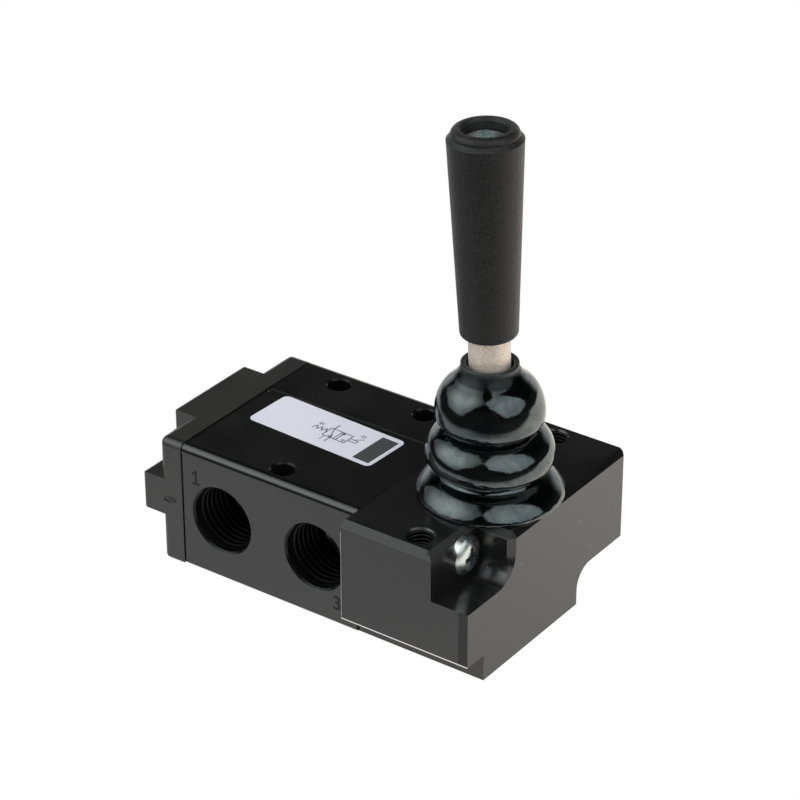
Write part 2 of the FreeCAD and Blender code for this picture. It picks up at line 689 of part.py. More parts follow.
def make_screw_group(label, places, heads, tip_length):
    """Screws along X as separate solids: a turned head and shank, with a cross recess in the head."""
    shank = number("dim.screw_radius")
    half_width = number("dim.drive_width") / 2
    reach = number("dim.drive_reach")
    solids = []
    for (seat_x, along_y, up_z), facing in zip(places, heads):
        pan = facing > 0
        head_radius = number("dim.pan_head_radius") if pan else number("dim.cap_screw_head_radius") - 0.05
        top = number("dim.pan_head_height") if pan else 0.0
        edge = number("dim.pan_head_edge")
        start = FreeCAD.Vector(0, 0, -tip_length)
        if pan:
            crown = Part.Arc(
                FreeCAD.Vector(head_radius, 0, edge),
                FreeCAD.Vector(head_radius * 0.72, 0, edge + (top - edge) * 0.72),
                FreeCAD.Vector(0, 0, top)).toShape()
            points = [start, FreeCAD.Vector(shank, 0, -tip_length), FreeCAD.Vector(shank, 0, 0)]
            points += [FreeCAD.Vector(head_radius, 0, 0), FreeCAD.Vector(head_radius, 0, edge)]
            edges = Part.makePolygon(points).Edges + [crown]
            edges.append(Part.LineSegment(FreeCAD.Vector(0, 0, top), start).toShape())
        else:
            cone = head_radius - shank
            points = [start, FreeCAD.Vector(shank, 0, -tip_length), FreeCAD.Vector(shank, 0, -cone)]
            points += [FreeCAD.Vector(head_radius, 0, 0), FreeCAD.Vector(0, 0, 0), start]
            edges = Part.makePolygon(points).Edges
        blank = Part.Face(Part.Wire(edges)).revolve(FreeCAD.Vector(0, 0, 0), Z_AXIS, 360)
        depth = number("dim.drive_depth")
        bars = []
        for turn in (0, 90):
            bar = Part.makeBox(2 * reach, 2 * half_width, depth + 1)
            bar.translate(FreeCAD.Vector(-reach, -half_width, top - depth))
            bar.rotate(FreeCAD.Vector(0, 0, 0), Z_AXIS, turn)
            bars.append(bar)
        screw = blank.cut(bars[0].fuse(bars[1]))
        screw.rotate(FreeCAD.Vector(0, 0, 0), Y_AXIS, 90 if facing > 0 or facing == 0 else -90)
        screw.translate(FreeCAD.Vector(seat_x, along_y, up_z))
        solids.append(screw.Solids[0])
    group = doc.addObject("Part::Feature", label)
    group.Label = label
    group.Shape = Part.makeCompound(solids)
    return group


def make_screws():
    """Pan head screws for the housing and countersunk screws for the cap, two of each."""
    side, top = number(SCREW_Y), number(SCREW_TOP_Z)
    wall = number(POCKET_WALL_X)
    grip = wall - number(BODY_END) + number("dim.screw_engagement")
    housing_places = [(wall, -side, top), (wall, side, number("dim.screw_inset_base"))]
    make_screw_group("housing_screws", housing_places, [1, 1], grip)
    face = number(CAP_FACE)
    length = number("dim.cap_plate") + number("dim.screw_engagement")
    cap_places = [(face, -side, top), (face, side, number("dim.cap_screw_hole_inset_base"))]
    make_screw_group("cap_screws", cap_places, [-1, -1], length)


def make_face_seal(label, face_x, inward):
    """Rubber ring in its face groove, flush with the joint."""
    ring = doc.addObject("Part::Torus", label)
    ring.Label = label
    ring.setExpression("Radius1", "dim.seal_ring_radius")
    ring.setExpression("Radius2", "dim.seal_ring_section - 0.01")
    ring.Placement = FreeCAD.Placement(FreeCAD.Vector(), FreeCAD.Rotation(Y_AXIS, 90))
    ring.setExpression("Placement.Base.x", f"{face_x} {inward} dim.seal_groove_depth / 2")
    ring.setExpression("Placement.Base.z", AXIS_Z)


def make_pivot_carrier():
    """Stepped disc with a long slot for the lever, a cross bore for the pin and a neck for the boot."""
    body = new_body("pivot_carrier")
    groove_low = "dim.body_height + dim.bead_groove_rise"
    groove_high = f"{groove_low} + dim.bead_groove_height"
    groove_radius = "dim.carrier_neck_radius - dim.bead_groove_depth"
    neck_top = "dim.body_height + dim.carrier_neck_height"
    profile = new_sketch(body, "carrier_profile", "XZ_Plane", x="dim.pivot_x")
    outline(profile, [
        ("0", CARRIER_BASE), ("dim.carrier_radius", CARRIER_BASE), ("dim.carrier_radius", CARRIER_TOP),
        ("dim.carrier_neck_radius", CARRIER_TOP), ("dim.carrier_neck_radius", groove_low),
        (groove_radius, groove_low), (groove_radius, groove_high),
        ("dim.carrier_neck_radius", groove_high), ("dim.carrier_neck_radius", neck_top), ("0", neck_top),
    ])
    turned(body, "carrier_turning", profile, "V_Axis")
    slot = new_sketch(body, "lever_slot_outline", "XY_Plane", z=neck_top)
    half = "dim.rod_radius + dim.lever_side_clearance"
    rectangle(slot, "dim.pivot_x - dim.carrier_slot_back", f"-({half})", "dim.pivot_x + dim.carrier_slot_front", half)
    pocket(body, "lever_slot", slot)
    bore = new_sketch(body, "pin_bore_circle", "XZ_Plane", z="-dim.carrier_radius")
    circle(bore, "dim.pivot_x", PIVOT_Z, "dim.pin_radius + dim.pin_seat_clearance")
    pocket(body, "pin_bore", bore, "2 * dim.carrier_radius", forwards=True)


def make_carrier_ring():
    """Internal retaining ring: a flat ring with a gap, snapped into its groove over the carrier."""
    body = new_body("carrier_ring")
    outer = "dim.carrier_radius + dim.ring_reach"
    profile = new_sketch(body, "ring_outline", "XY_Plane", z=CARRIER_TOP)
    circle(profile, "dim.pivot_x", "0", outer)
    circle(profile, "dim.pivot_x", "0", f"{outer} - dim.ring_width")
    pad(body, "ring_blank", profile, "dim.ring_thickness")
    gap = new_sketch(body, "ring_gap_outline", "XY_Plane", z=f"{CARRIER_TOP} + dim.ring_thickness")
    far_left = "dim.pivot_x - 2 * dim.carrier_radius"
    outline(gap, [
        ("dim.pivot_x", "0"),
        (far_left, "-2 * dim.carrier_radius * tan(dim.ring_gap_angle / 2)"),
        (far_left, "2 * dim.carrier_radius * tan(dim.ring_gap_angle / 2)"),
    ])
    pocket(body, "ring_gap", gap)


def make_pivot_pin():
    """Ground pin across the carrier, held endways by the wall of the carrier's seat."""
    pin = doc.addObject("Part::Cylinder", "pivot_pin")
    pin.Label = "pivot_pin"
    pin.setExpression("Radius", "dim.pin_radius")
    pin.setExpression("Height", "2 * (dim.carrier_radius - dim.pin_end_clearance)")
    pin.Placement = FreeCAD.Placement(FreeCAD.Vector(), FreeCAD.Rotation(X_AXIS, -90))
    pin.setExpression("Placement.Base.x", "dim.pivot_x")
    pin.setExpression("Placement.Base.y", "-(dim.carrier_radius - dim.pin_end_clearance)")
    pin.setExpression("Placement.Base.z", PIVOT_Z)


def lean(piece):
    """Put a piece that was made upright about the pivot into the lever's leaning rest place."""
    piece.Placement = FreeCAD.Placement(FreeCAD.Vector(), FreeCAD.Rotation(FreeCAD.Vector(0, -1, 0), 1))
    piece.setExpression("Placement.Rotation.Angle", "dim.rest_lean")
    piece.setExpression("Placement.Base.x", "dim.pivot_x")
    piece.setExpression("Placement.Base.z", PIVOT_Z)


def make_lever_rod():
    """Turned rod: ball end, waisted neck, cross bore for the bush and a threaded end for the knob screw."""
    body = new_body("lever_rod")
    shoulder = "-dim.rod_shoulder_drop"
    neck_top = "-(dim.rod_shoulder_drop + dim.rod_cone_height)"
    ball_height = "sqrt(dim.ball_radius ^ 2 - dim.rod_neck_radius ^ 2)"
    thread = "dim.screw_radius + dim.screw_thread_clearance"
    thread_depth = f"{ROD_TOP} - dim.knob_screw_grip"
    profile = new_sketch(body, "rod_profile", "XZ_Plane")
    outline(profile, [
        ("0", f"-({LEVER_ARM} + dim.ball_radius)", "dim.ball_radius", 1),
        ("dim.rod_neck_radius", f"-({LEVER_ARM} - {ball_height})"),
        ("dim.rod_neck_radius", neck_top),
        ("dim.rod_radius", shoulder),
        ("dim.rod_radius", f"{ROD_TOP} - dim.rod_top_chamfer"),
        ("dim.rod_radius - dim.rod_top_chamfer", ROD_TOP),
        (thread, ROD_TOP),
        (thread, thread_depth),
        ("0", thread_depth),
    ])
    turned(body, "rod_turning", profile, "V_Axis")
    eye = new_sketch(body, "eye_circle", "XZ_Plane", z="-dim.rod_radius")
    bush_radius = "dim.pin_radius + dim.pin_running_clearance + dim.bush_wall"
    circle(eye, "0", "0", f"{bush_radius} + dim.fit_clearance")
    pocket(body, "eye", eye, "2 * dim.rod_radius", forwards=True)
    lean(body)


def make_pivot_bush():
    """Plain bearing bush in the rod's eye."""
    body = new_body("pivot_bush")
    ring = new_sketch(body, "bush_outline", "XZ_Plane", z="-dim.bush_length / 2")
    inner = "dim.pin_radius + dim.pin_running_clearance"
    circle(ring, "0", "0", inner)
    circle(ring, "0", "0", f"{inner} + dim.bush_wall")
    pad(body, "bush", ring, "dim.bush_length")
    lean(body)


def make_knob():
    """Tapered moulded grip with a rounded rim, a screw recess on top and a socket for the rod."""
    body = new_body("knob")
    top = "(dim.knob_bottom + dim.knob_length)"
    rim = f"({top} - dim.knob_rim_drop)"
    socket = "dim.rod_radius + dim.knob_rod_clearance"
    hole = "dim.screw_radius + dim.screw_hole_clearance"
    ring = "(dim.knob_top_radius - dim.knob_rim_width)"
    profile = new_sketch(body, "knob_profile", "XZ_Plane")
    outline(profile, [
        (socket, "dim.knob_bottom"),
        ("dim.knob_bottom_radius - dim.knob_bottom_round", "dim.knob_bottom", "dim.knob_bottom_round", 1),
        ("dim.knob_bottom_radius", "dim.knob_bottom + dim.knob_bottom_round"),
        ("dim.knob_top_radius", rim),
        (ring, f"{rim} + dim.knob_shoulder_rise"),
        (ring, f"{top} - dim.knob_rim_round", "dim.knob_rim_round", 1),
        (f"{ring} - dim.knob_rim_round", top),
        ("dim.knob_recess_radius + 0.4", top),
        ("dim.knob_recess_radius", f"{top} - 0.6"),
        ("dim.knob_recess_radius", SCREW_SEAT),
        (hole, SCREW_SEAT),
        (hole, ROD_TOP),
        (socket, ROD_TOP),
    ])
    turned(body, "knob_turning", profile, "V_Axis")
    lean(body)


def make_knob_screw():
    """Pan head screw in the knob's recess, along the lever."""
    body = new_body("knob_screw")
    tip = f"{ROD_TOP} - dim.knob_screw_grip + dim.screw_hole_runout"
    edge = f"{SCREW_SEAT} + dim.pan_head_edge"
    top = f"{SCREW_SEAT} + dim.pan_head_height"
    crown = "(dim.pan_head_height - dim.pan_head_edge)"
    profile = new_sketch(body, "screw_profile", "XZ_Plane")
    outline(profile, [
        ("0", tip), ("dim.screw_radius", tip), ("dim.screw_radius", SCREW_SEAT),
        ("dim.pan_head_radius", SCREW_SEAT),
        ("dim.pan_head_radius", edge, f"(dim.pan_head_radius ^ 2 + {crown} ^ 2) / (2 * {crown})", 1),
        ("0", top),
    ])
    turned(body, "screw_turning", profile, "V_Axis")
    drive = new_sketch(body, "drive_outline", "XY_Plane", z=top)
    arm, half = "dim.drive_reach", "dim.drive_width / 2"
    outline(drive, [
        (f"-{arm}", f"-{half}"), (f"-{half}", f"-{half}"), (f"-{half}", f"-{arm}"), (half, f"-{arm}"),
        (half, f"-{half}"), (arm, f"-{half}"), (arm, half), (half, half),
        (half, arm), (f"-{half}", arm), (f"-{half}", half), (f"-{arm}", half),
    ])
    pocket(body, "drive_recess", drive, "dim.drive_depth")
    lean(body)


def make_boot():
    """Rubber bellows: thin lip on the housing, two bulges, and a collar that hugs the rod."""
    body = new_body("boot")
    base = "dim.body_height"
    wall = "dim.boot_wall"
    half = "dim.boot_bulge_half_height"
    bend = f"({half} ^ 2 + dim.boot_bulge_depth ^ 2) / (2 * dim.boot_bulge_depth)"
    offset = "dim.pivot_x - dim.boot_x + dim.fit_clearance"
    bead_low = f"{base} + dim.bead_groove_rise + dim.fit_clearance"
    bead_high = f"{base} + dim.bead_groove_rise + dim.bead_groove_height - dim.fit_clearance"

    def at(name, shift="0"):
        return f"{base} + dim.{name}_rise + {shift}"

    profile = new_sketch(body, "boot_profile", "XZ_Plane", x="dim.boot_x")
    outline(profile, [
        (f"dim.carrier_neck_radius - dim.bead_groove_depth + {offset}", bead_low),
        (f"dim.carrier_neck_radius + {offset}", bead_low),
        (f"dim.carrier_neck_radius + {offset}", base),
        ("dim.boot_base_radius", base),
        ("dim.boot_lip_radius", f"{base} + dim.boot_lip_rise"),
        ("dim.boot_lip_radius", f"{base} + dim.boot_lip_rise + dim.boot_lip_thickness"),
        ("dim.boot_lower_crease + 0.5", at("boot_lower_crease", "-0.8"), "dim.boot_crease_radius", -1),
        ("dim.boot_lower_crease + 0.5", at("boot_lower_crease", "0.4")),
        ("dim.boot_lower_bulge - dim.boot_bulge_depth", at("boot_lower_bulge", f"-{half}"), bend, 1),
        ("dim.boot_lower_bulge - dim.boot_bulge_depth", at("boot_lower_bulge", half)),
        ("dim.boot_upper_crease + 0.4", at("boot_upper_crease", "-0.6"), "dim.boot_crease_radius", -1),
        ("dim.boot_upper_crease + 0.4", at("boot_upper_crease", "0.6")),
        ("dim.boot_upper_bulge - dim.boot_bulge_depth", at("boot_upper_bulge", f"-{half}"), bend, 1),
        ("dim.boot_upper_bulge - dim.boot_bulge_depth - 0.3", at("boot_upper_bulge", f"{half} + 1")),
        ("dim.boot_neck_radius", at("boot_neck")),
        ("dim.boot_neck_radius", at("boot_neck", "dim.boot_neck_length")),
        ("dim.boot_collar_radius", at("boot_collar")),
        ("dim.boot_neck_bore", at("boot_collar")),
        ("dim.boot_neck_bore", at("boot_neck")),
        (f"dim.boot_upper_bulge - dim.boot_bulge_depth - {wall}", at("boot_upper_bulge", half)),
        (f"dim.boot_upper_bulge - {wall}", at("boot_upper_bulge")),
        (f"dim.boot_upper_bulge - dim.boot_bulge_depth - {wall}", at("boot_upper_bulge", f"-{half}")),
        (f"dim.boot_upper_crease - {wall}", at("boot_upper_crease")),
        (f"dim.boot_lower_bulge - dim.boot_bulge_depth - {wall}", at("boot_lower_bulge", half)),
        (f"dim.boot_lower_bulge - {wall}", at("boot_lower_bulge")),
        (f"dim.boot_lower_bulge - dim.boot_bulge_depth - {wall}", at("boot_lower_bulge", f"-{half}")),
        (f"dim.boot_lower_crease - {wall} / 2 + 0.3", at("boot_lower_crease")),
        (f"dim.boot_lower_crease - {wall} / 2 + 0.3", bead_high),
        (f"dim.carrier_neck_radius - dim.bead_groove_depth + {offset}", bead_high),
    ])
    turned(body, "bellows", profile, "V_Axis")


def seal_places():
    """Centres of the spool's four seals at rest, along X, as expressions."""
    port_seal = f"({PORT_SEAL_X})"
    right_port = "((dim.port_pitch - dim.chamber_width) / 2 + dim.port_seal_opening)"
    end_run = "(dim.port_pitch + dim.chamber_width) / 2 + dim.end_seal_inset"
    travel = f"{LEVER_ARM} * (sin(dim.rest_lean) + sin(dim.lever_travel - dim.rest_lean))"
    return [
        f"-({end_run})",
        f"-{port_seal}",
        right_port,
        f"({end_run} + {travel})",
    ]


def make_spool():
    """Turned spool: four lands with seal grooves, a stub for the spring seat and a stem to the plunger."""
    body = new_body("spool")
    places = seal_places()
    half_land = "dim.land_width / 2"
    half_groove = "(dim.seal_section + dim.fit_clearance)"
    groove_radius = f"({SEAL_RADIUS} - dim.seal_section - dim.fit_clearance)"
    start = f"{places[0]} - {half_land}"
    profile = new_sketch(body, "spool_profile", "XZ_Plane", y=AXIS_Z)
    steps = [
        (f"{start} - dim.seat_stub_length", "0"),
        (f"{start} - dim.seat_stub_length", "dim.seat_stub_radius"),
        (start, "dim.seat_stub_radius"),
    ]
    for place in places:
        steps += [
            (f"{place} - {half_land}", LAND_RADIUS), (f"{place} - {half_groove}", LAND_RADIUS),
            (f"{place} - {half_groove}", groove_radius), (f"{place} + {half_groove}", groove_radius),
            (f"{place} + {half_groove}", LAND_RADIUS), (f"{place} + {half_land}", LAND_RADIUS),
            (f"{place} + {half_land}", "dim.spool_neck_radius"),
        ]
        if place != places[-1]:
            following = places[places.index(place) + 1]
            steps.append((f"{following} - {half_land}", "dim.spool_neck_radius"))
    plunger_face = f"({BODY_END} + dim.plunger_start)"
    steps += [(plunger_face, "dim.spool_neck_radius"), (plunger_face, "0")]
    outline(profile, steps)
    turned(body, "spool_turning", profile, "H_Axis")


def make_spool_seals():
    """The four ring seals in the spool's grooves, as separate solids."""
    section = number("dim.seal_section")
    rings = []
    for place in seal_places():
        ring = Part.makeTorus(number(SEAL_RADIUS), section, FreeCAD.Vector(0, 0, 0), X_AXIS)
        ring.translate(FreeCAD.Vector(number(place), 0, number(AXIS_Z)))
        rings.append(ring)
    group = doc.addObject("Part::Feature", "spool_seals")
    group.Label = "spool_seals"
    group.Shape = Part.makeCompound(rings)


def make_spring_seat():
    """Flanged sleeve on the spool's stub that carries and guides the return spring."""
    body = new_body("spring_seat")
    face = f"({seal_places()[0]} - dim.land_width / 2)"
    back = f"({face} - dim.seat_flange_thickness)"
    tip = f"({back} - dim.seat_sleeve_length)"
    inner = "dim.seat_stub_radius + dim.fit_clearance"
    profile = new_sketch(body, "seat_profile", "XZ_Plane", y=AXIS_Z)
    outline(profile, [
        (tip, inner), (face, inner), (face, "dim.seat_flange_radius"), (back, "dim.seat_flange_radius"),
        (back, "dim.seat_sleeve_radius"), (tip, "dim.seat_sleeve_radius"),
    ])
    turned(body, "seat_turning", profile, "H_Axis")


def make_return_spring():
    """Compression spring between the cap's end wall and the spring seat."""
    wire = number("dim.spring_wire_radius")
    radius = number("dim.spring_radius")
    turns = number("dim.spring_turns")
    gap = number("dim.spring_end_gap")
    seat = number(f"{seal_places()[0]} - dim.land_width / 2 - dim.seat_flange_thickness")
    start = number(CHAMBER_END) + gap + wire
    length = seat - gap - wire - start
    coil = Part.makeHelix(length / turns, length, radius)
    section = Part.Wire(Part.makeCircle(wire, FreeCAD.Vector(radius, 0, 0), Y_AXIS))
    spring = Part.Wire(coil.Edges).makePipeShell([section], True, True)
    spring.rotate(FreeCAD.Vector(0, 0, 0), Y_AXIS, 90)
    spring.translate(FreeCAD.Vector(start, 0, number(AXIS_Z)))
    piece = doc.addObject("Part::Feature", "return_spring")
    piece.Label = "return_spring"
    piece.Shape = spring


def make_plunger():
    """Slider in the housing's bore, with a flat and a pocket for the lever's ball."""
    body = new_body("plunger")
    start = f"({BODY_END} + dim.plunger_start)"
    end = f"({BORE_END} - dim.plunger_stop_gap)"
    profile = new_sketch(body, "plunger_profile", "XZ_Plane", y=AXIS_Z)
    radius, chamfer = "dim.plunger_radius", "dim.plunger_chamfer"
    outline(profile, [
        (start, "0"), (start, f"{radius} - {chamfer}"), (f"{start} + {chamfer}", radius),
        (f"{end} - {chamfer}", radius), (end, f"{radius} - {chamfer}"), (end, "0"),
    ])
    turned(body, "plunger_turning", profile, "H_Axis")
    flat = new_sketch(body, "flat_outline", "XZ_Plane", z=f"-{radius}")
    flat_z = f"{AXIS_Z} + dim.plunger_flat_rise"
    rectangle(flat, f"{BALL_REST_X} - dim.plunger_flat_reach", flat_z,
              f"{BALL_REST_X} + dim.plunger_flat_reach", f"{AXIS_Z} + {radius} + 1")
    pocket(body, "flat", flat, f"2 * {radius}", forwards=True)
    slot = new_sketch(body, "ball_pocket_outline", "XY_Plane", z=flat_z)
    reach = "dim.ball_radius + dim.ball_clearance"
    rectangle(slot, f"{BALL_REST_X} - ({reach})", "-dim.plunger_pocket_reach",
              f"{BALL_REST_X} + {reach}", "dim.plunger_pocket_reach")
    pocket(body, "ball_pocket", slot, "dim.plunger_flat_rise + dim.plunger_pocket_floor")


make_valve_body()
make_end_cap()
make_lever_housing()
make_screws()
make_face_seal("cap_seal", f"-{BODY_END}", "-")
make_face_seal("housing_seal", BODY_END, "+")
make_pivot_carrier()
make_carrier_ring()
make_pivot_pin()
make_boot()
make_lever_rod()
make_pivot_bush()
make_knob()
make_knob_screw()
make_spool()
make_spool_seals()
make_spring_seat()
make_return_spring()
make_plunger()
doc.recompute()

PIECES = [
    "valve_body", "end_cap", "cap_screws", "cap_seal", "return_spring", "lever_housing", "housing_screws",
    "housing_seal", "pivot_carrier", "carrier_ring", "pivot_pin", "boot", "lever_rod", "pivot_bush", "knob",
    "knob_screw", "spool", "spool_seals", "spring_seat", "plunger",
]
CUTS = ("PartDesign::Pocket", "PartDesign::Groove", "PartDesign::Chamfer")

for item in doc.Objects:
    if "Invalid" in item.State or "Error" in item.State:
        raise RuntimeError(f"{item.Label} did not compute: {item.State}")
    if item.TypeId in CUTS and item.Shape.Volume > item.BaseFeature.Shape.Volume - 0.001:
        raise RuntimeError(f"{item.Label} removes nothing")
for label in PIECES:
    shape = doc.getObjectsByLabel(label)[0].Shape
    if shape.isNull() or not shape.isValid() or not shape.Solids:
        raise RuntimeError(f"{label} has no valid solid")

os.makedirs("parts", exist_ok=True)
for label in PIECES:
    shape = doc.getObjectsByLabel(label)[0].Shape
    shape.exportStep(f"parts/{label}.step")
    print(label, len(shape.Solids), "solids", round(shape.Volume, 1), "mm3")
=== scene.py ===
import bpy
import math
from mathutils import Matrix, Vector


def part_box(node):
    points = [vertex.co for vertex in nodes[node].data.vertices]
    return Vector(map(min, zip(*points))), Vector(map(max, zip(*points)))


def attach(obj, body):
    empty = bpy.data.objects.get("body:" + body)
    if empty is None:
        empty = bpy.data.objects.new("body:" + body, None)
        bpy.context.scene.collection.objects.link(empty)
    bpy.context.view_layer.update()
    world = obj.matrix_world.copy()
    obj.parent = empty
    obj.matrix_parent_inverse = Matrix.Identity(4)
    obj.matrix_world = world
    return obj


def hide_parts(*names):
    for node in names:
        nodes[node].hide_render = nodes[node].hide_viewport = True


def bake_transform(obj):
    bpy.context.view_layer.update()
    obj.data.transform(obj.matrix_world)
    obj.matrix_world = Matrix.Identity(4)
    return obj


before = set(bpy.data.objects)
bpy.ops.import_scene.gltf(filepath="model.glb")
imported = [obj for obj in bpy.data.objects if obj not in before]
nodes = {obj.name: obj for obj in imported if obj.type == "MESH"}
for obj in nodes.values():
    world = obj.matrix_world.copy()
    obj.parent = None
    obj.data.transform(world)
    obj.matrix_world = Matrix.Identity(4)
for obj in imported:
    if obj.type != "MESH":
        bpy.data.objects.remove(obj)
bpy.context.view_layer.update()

# ---------------------------------------------------------------- camera
# A long lens above and to the right of the ports, level with the horizon, about half a metre from the valve.
# Its lengths are in thirtieths of the body's height, and its focal length in pixels of the picture.
unit = 0.026 / 30
focal_length, picture_size = 3009.31, 800
turn, lift = math.radians(35.78), math.radians(29.29)
right = Vector((math.cos(turn), math.sin(turn), 0))
back = Vector((math.sin(turn) * math.cos(lift), -math.cos(turn) * math.cos(lift), math.sin(lift)))
up = back.cross(right)
roll = math.radians(-0.09)
camera_right = math.cos(roll) * right + math.sin(roll) * up
camera_up = math.cos(roll) * up - math.sin(roll) * right
target = Vector((35 * unit - 0.02015, 20 * unit - 0.0201, -15 * unit + 0.026))
camera_data = bpy.data.cameras.new("camera")
camera_data.sensor_width = 36
camera_data.lens = focal_length / picture_size * camera_data.sensor_width
camera = bpy.data.objects.new("camera", camera_data)
bpy.context.scene.collection.objects.link(camera)
spot = target + (camera_right * 6.8 + camera_up * 24.67 + back * 650.15) * unit
turned = Matrix((camera_right, camera_up, back)).transposed().to_4x4()
camera.matrix_world = Matrix.Translation(spot) @ turned
camera_data.clip_start, camera_data.clip_end = 0.01, 20
bpy.context.scene.camera = camera
bpy.context.scene.view_settings.view_transform = "Standard"

# ---------------------------------------------------------------- studio
# A white table with two large softboxes, one each side of the camera, and a dark room above.
# The camera sees the table plain white. In the valve's gloss it glows near the valve and darkens further off,
# and to all other light it is a matt white floor.


def feed(made, values):
    """Gives inputs of a node their values, or the node or socket that they come from."""
    for socket, value in values.items():
        if isinstance(value, bpy.types.Node):
            value = value.outputs[0]
        if isinstance(value, bpy.types.NodeSocket):
            made.id_data.links.new(value, made.inputs[socket])
        else:
            made.inputs[socket].default_value = value


def node(tree, kind, values=None, **settings):
    """A node of a tree, with its plain settings made and its inputs fed."""
    made = tree.nodes.new(kind)
    for key, value in settings.items():
        setattr(made, key, value)
    feed(made, values or {})
    return made


def maths(tree, operation, *values):
    """A Math node with numbers, nodes or sockets at its inputs."""
    return node(tree, "ShaderNodeMath", dict(enumerate(values)), operation=operation)


def flat_plate(name, corners, place=(0, 0, 0)):
    """A flat plate of the studio with its corners at these points, round its own place."""
    mesh = bpy.data.meshes.new(name)
    mesh.from_pydata([tuple(corner) for corner in corners], [], [tuple(range(len(corners)))])
    made = bpy.data.objects.new(name, mesh)
    made.location = place
    bpy.context.scene.collection.objects.link(made)
    return made


table = flat_plate("table", [(-1.5, -1.5, 0), (1.5, -1.5, 0), (1.5, 1.5, 0), (-1.5, 1.5, 0)], (0, 0, -0.0002))
table_paint = bpy.data.materials.new("table_white")
table_paint.use_nodes = True
tree = table_paint.node_tree
tree.nodes.clear()
table_matt = node(tree, "ShaderNodeBsdfDiffuse", {"Color": (0.85, 0.85, 0.85, 1)})
table_rays = node(tree, "ShaderNodeLightPath")
table_place = node(tree, "ShaderNodeTexCoord")
# The glow is brighter and warmer to the right and behind, and fades between 65 and 150 mm in front.
table_side = node(tree, "ShaderNodeVectorMath", {
    0: table_place.outputs["Object"], 1: (1, 1, 0),
}, operation="DOT_PRODUCT")
table_glow = node(tree, "ShaderNodeMapRange", {
    "From Min": -0.03, "From Max": 0.13, "Value": table_side.outputs["Value"],
})
table_tint = node(tree, "ShaderNodeMix", {
    "Factor": table_glow, 6: (0.74, 0.74, 0.74, 1), 7: (1.30, 1.22, 1.14, 1),
}, data_type="RGBA")
table_reach = node(tree, "ShaderNodeVectorMath", {
    0: table_place.outputs["Object"], 1: (-0.5, -0.866, 0),
}, operation="DOT_PRODUCT")
table_front = node(tree, "ShaderNodeVectorMath", {
    0: table_place.outputs["Object"], 1: (0.585, -0.811, 0),
}, operation="DOT_PRODUCT")
table_distance = maths(tree, "MAXIMUM", table_reach.outputs["Value"], table_front.outputs["Value"])
table_far = node(tree, "ShaderNodeMapRange", {
    "From Min": 0.15, "From Max": 0.065, "To Min": 0.05, "Value": table_distance,
}, interpolation_type="SMOOTHSTEP")
table_gloss = node(tree, "ShaderNodeEmission", {"Color": table_tint.outputs[2], "Strength": table_far})
table_white = node(tree, "ShaderNodeEmission")
through = maths(tree, "MAXIMUM", table_rays.outputs["Is Glossy Ray"], table_rays.outputs["Is Transmission Ray"])
first_mix = node(tree, "ShaderNodeMixShader", {0: through, 1: table_matt, 2: table_gloss})
second_mix = node(tree, "ShaderNodeMixShader", {
    0: table_rays.outputs["Is Camera Ray"], 1: first_mix, 2: table_white,
})
node(tree, "ShaderNodeOutputMaterial", {0: second_mix})
table.data.materials.append(table_paint)


def towards(azimuth, rise):
    """The direction of a compass bearing, from the front towards the right, and a rise, in degrees."""
    bearing, height = math.radians(azimuth), math.radians(rise)
    level = math.cos(height)
    return Vector((math.sin(bearing) * level, -math.cos(bearing) * level, math.sin(height)))


softbox_side, softbox_light = 1.3, 2.15
# Each softbox: its bearing and rise, its brightness in the middle and at the edge, its tint,
# and the bearing and rise of the corners of its cloth.
for side, azimuth, rise, glow, edge_glow, tint, cloth in (
    ("left", -44, 34, 2.1, 0.42, (0.97, 1.0, 1.0),
     ((-98, 14), (-66, 1), (-25, -3), (5, 28), (19, 50), (-10, 74), (-60, 80), (-98, 62))),
    ("right", 76, 36, 1.35, 0.85, (0.96, 0.99, 1.03),
     ((66, 5), (94, 4), (118, 14), (121, 48), (122, 74), (90, 86), (56, 79), (21, 50), (35, 27))),
):
    aim = towards(azimuth, rise)
    centre = Vector((0.02, 0, 0.03))
    lamp_data = bpy.data.lights.new(side + "_softbox", "AREA")
    lamp_data.shape, lamp_data.size = "SQUARE", softbox_side
    lamp_data.energy = softbox_light * math.pi * softbox_side ** 2
    lamp = bpy.data.objects.new(side + "_softbox", lamp_data)
    lamp.location = centre + aim
    lamp.rotation_euler = (-aim).to_track_quat("-Z", "Y").to_euler()
    lamp.visible_glossy = False
    lamp.visible_camera = False
    bpy.context.scene.collection.objects.link(lamp)
    corners = [towards(*corner) for corner in cloth]
    corners = [corner / corner.dot(aim) - aim for corner in corners]
    card = flat_plate(side + "_softbox_front", corners, centre + aim)
    card.visible_camera = False
    card.visible_diffuse = False
    card.visible_shadow = False
    card.visible_transmission = False
    card_paint = bpy.data.materials.new(side + "_softbox_cloth")
    card_paint.use_nodes = True
    tree = card_paint.node_tree
    tree.nodes.clear()
    card_place = node(tree, "ShaderNodeTexCoord")
    card_middle = node(tree, "ShaderNodeVectorMath", {0: card_place.outputs["Object"]}, operation="LENGTH")
    card_fall = node(tree, "ShaderNodeMapRange", {
        "From Max": 0.95, "To Min": glow, "To Max": edge_glow, "Value": card_middle.outputs["Value"],
    }, interpolation_type="SMOOTHSTEP")
    card_glow = node(tree, "ShaderNodeEmission", {"Color": (*tint, 1), "Strength": card_fall})
    node(tree, "ShaderNodeOutputMaterial", {0: card_glow})
    card.data.materials.append(card_paint)

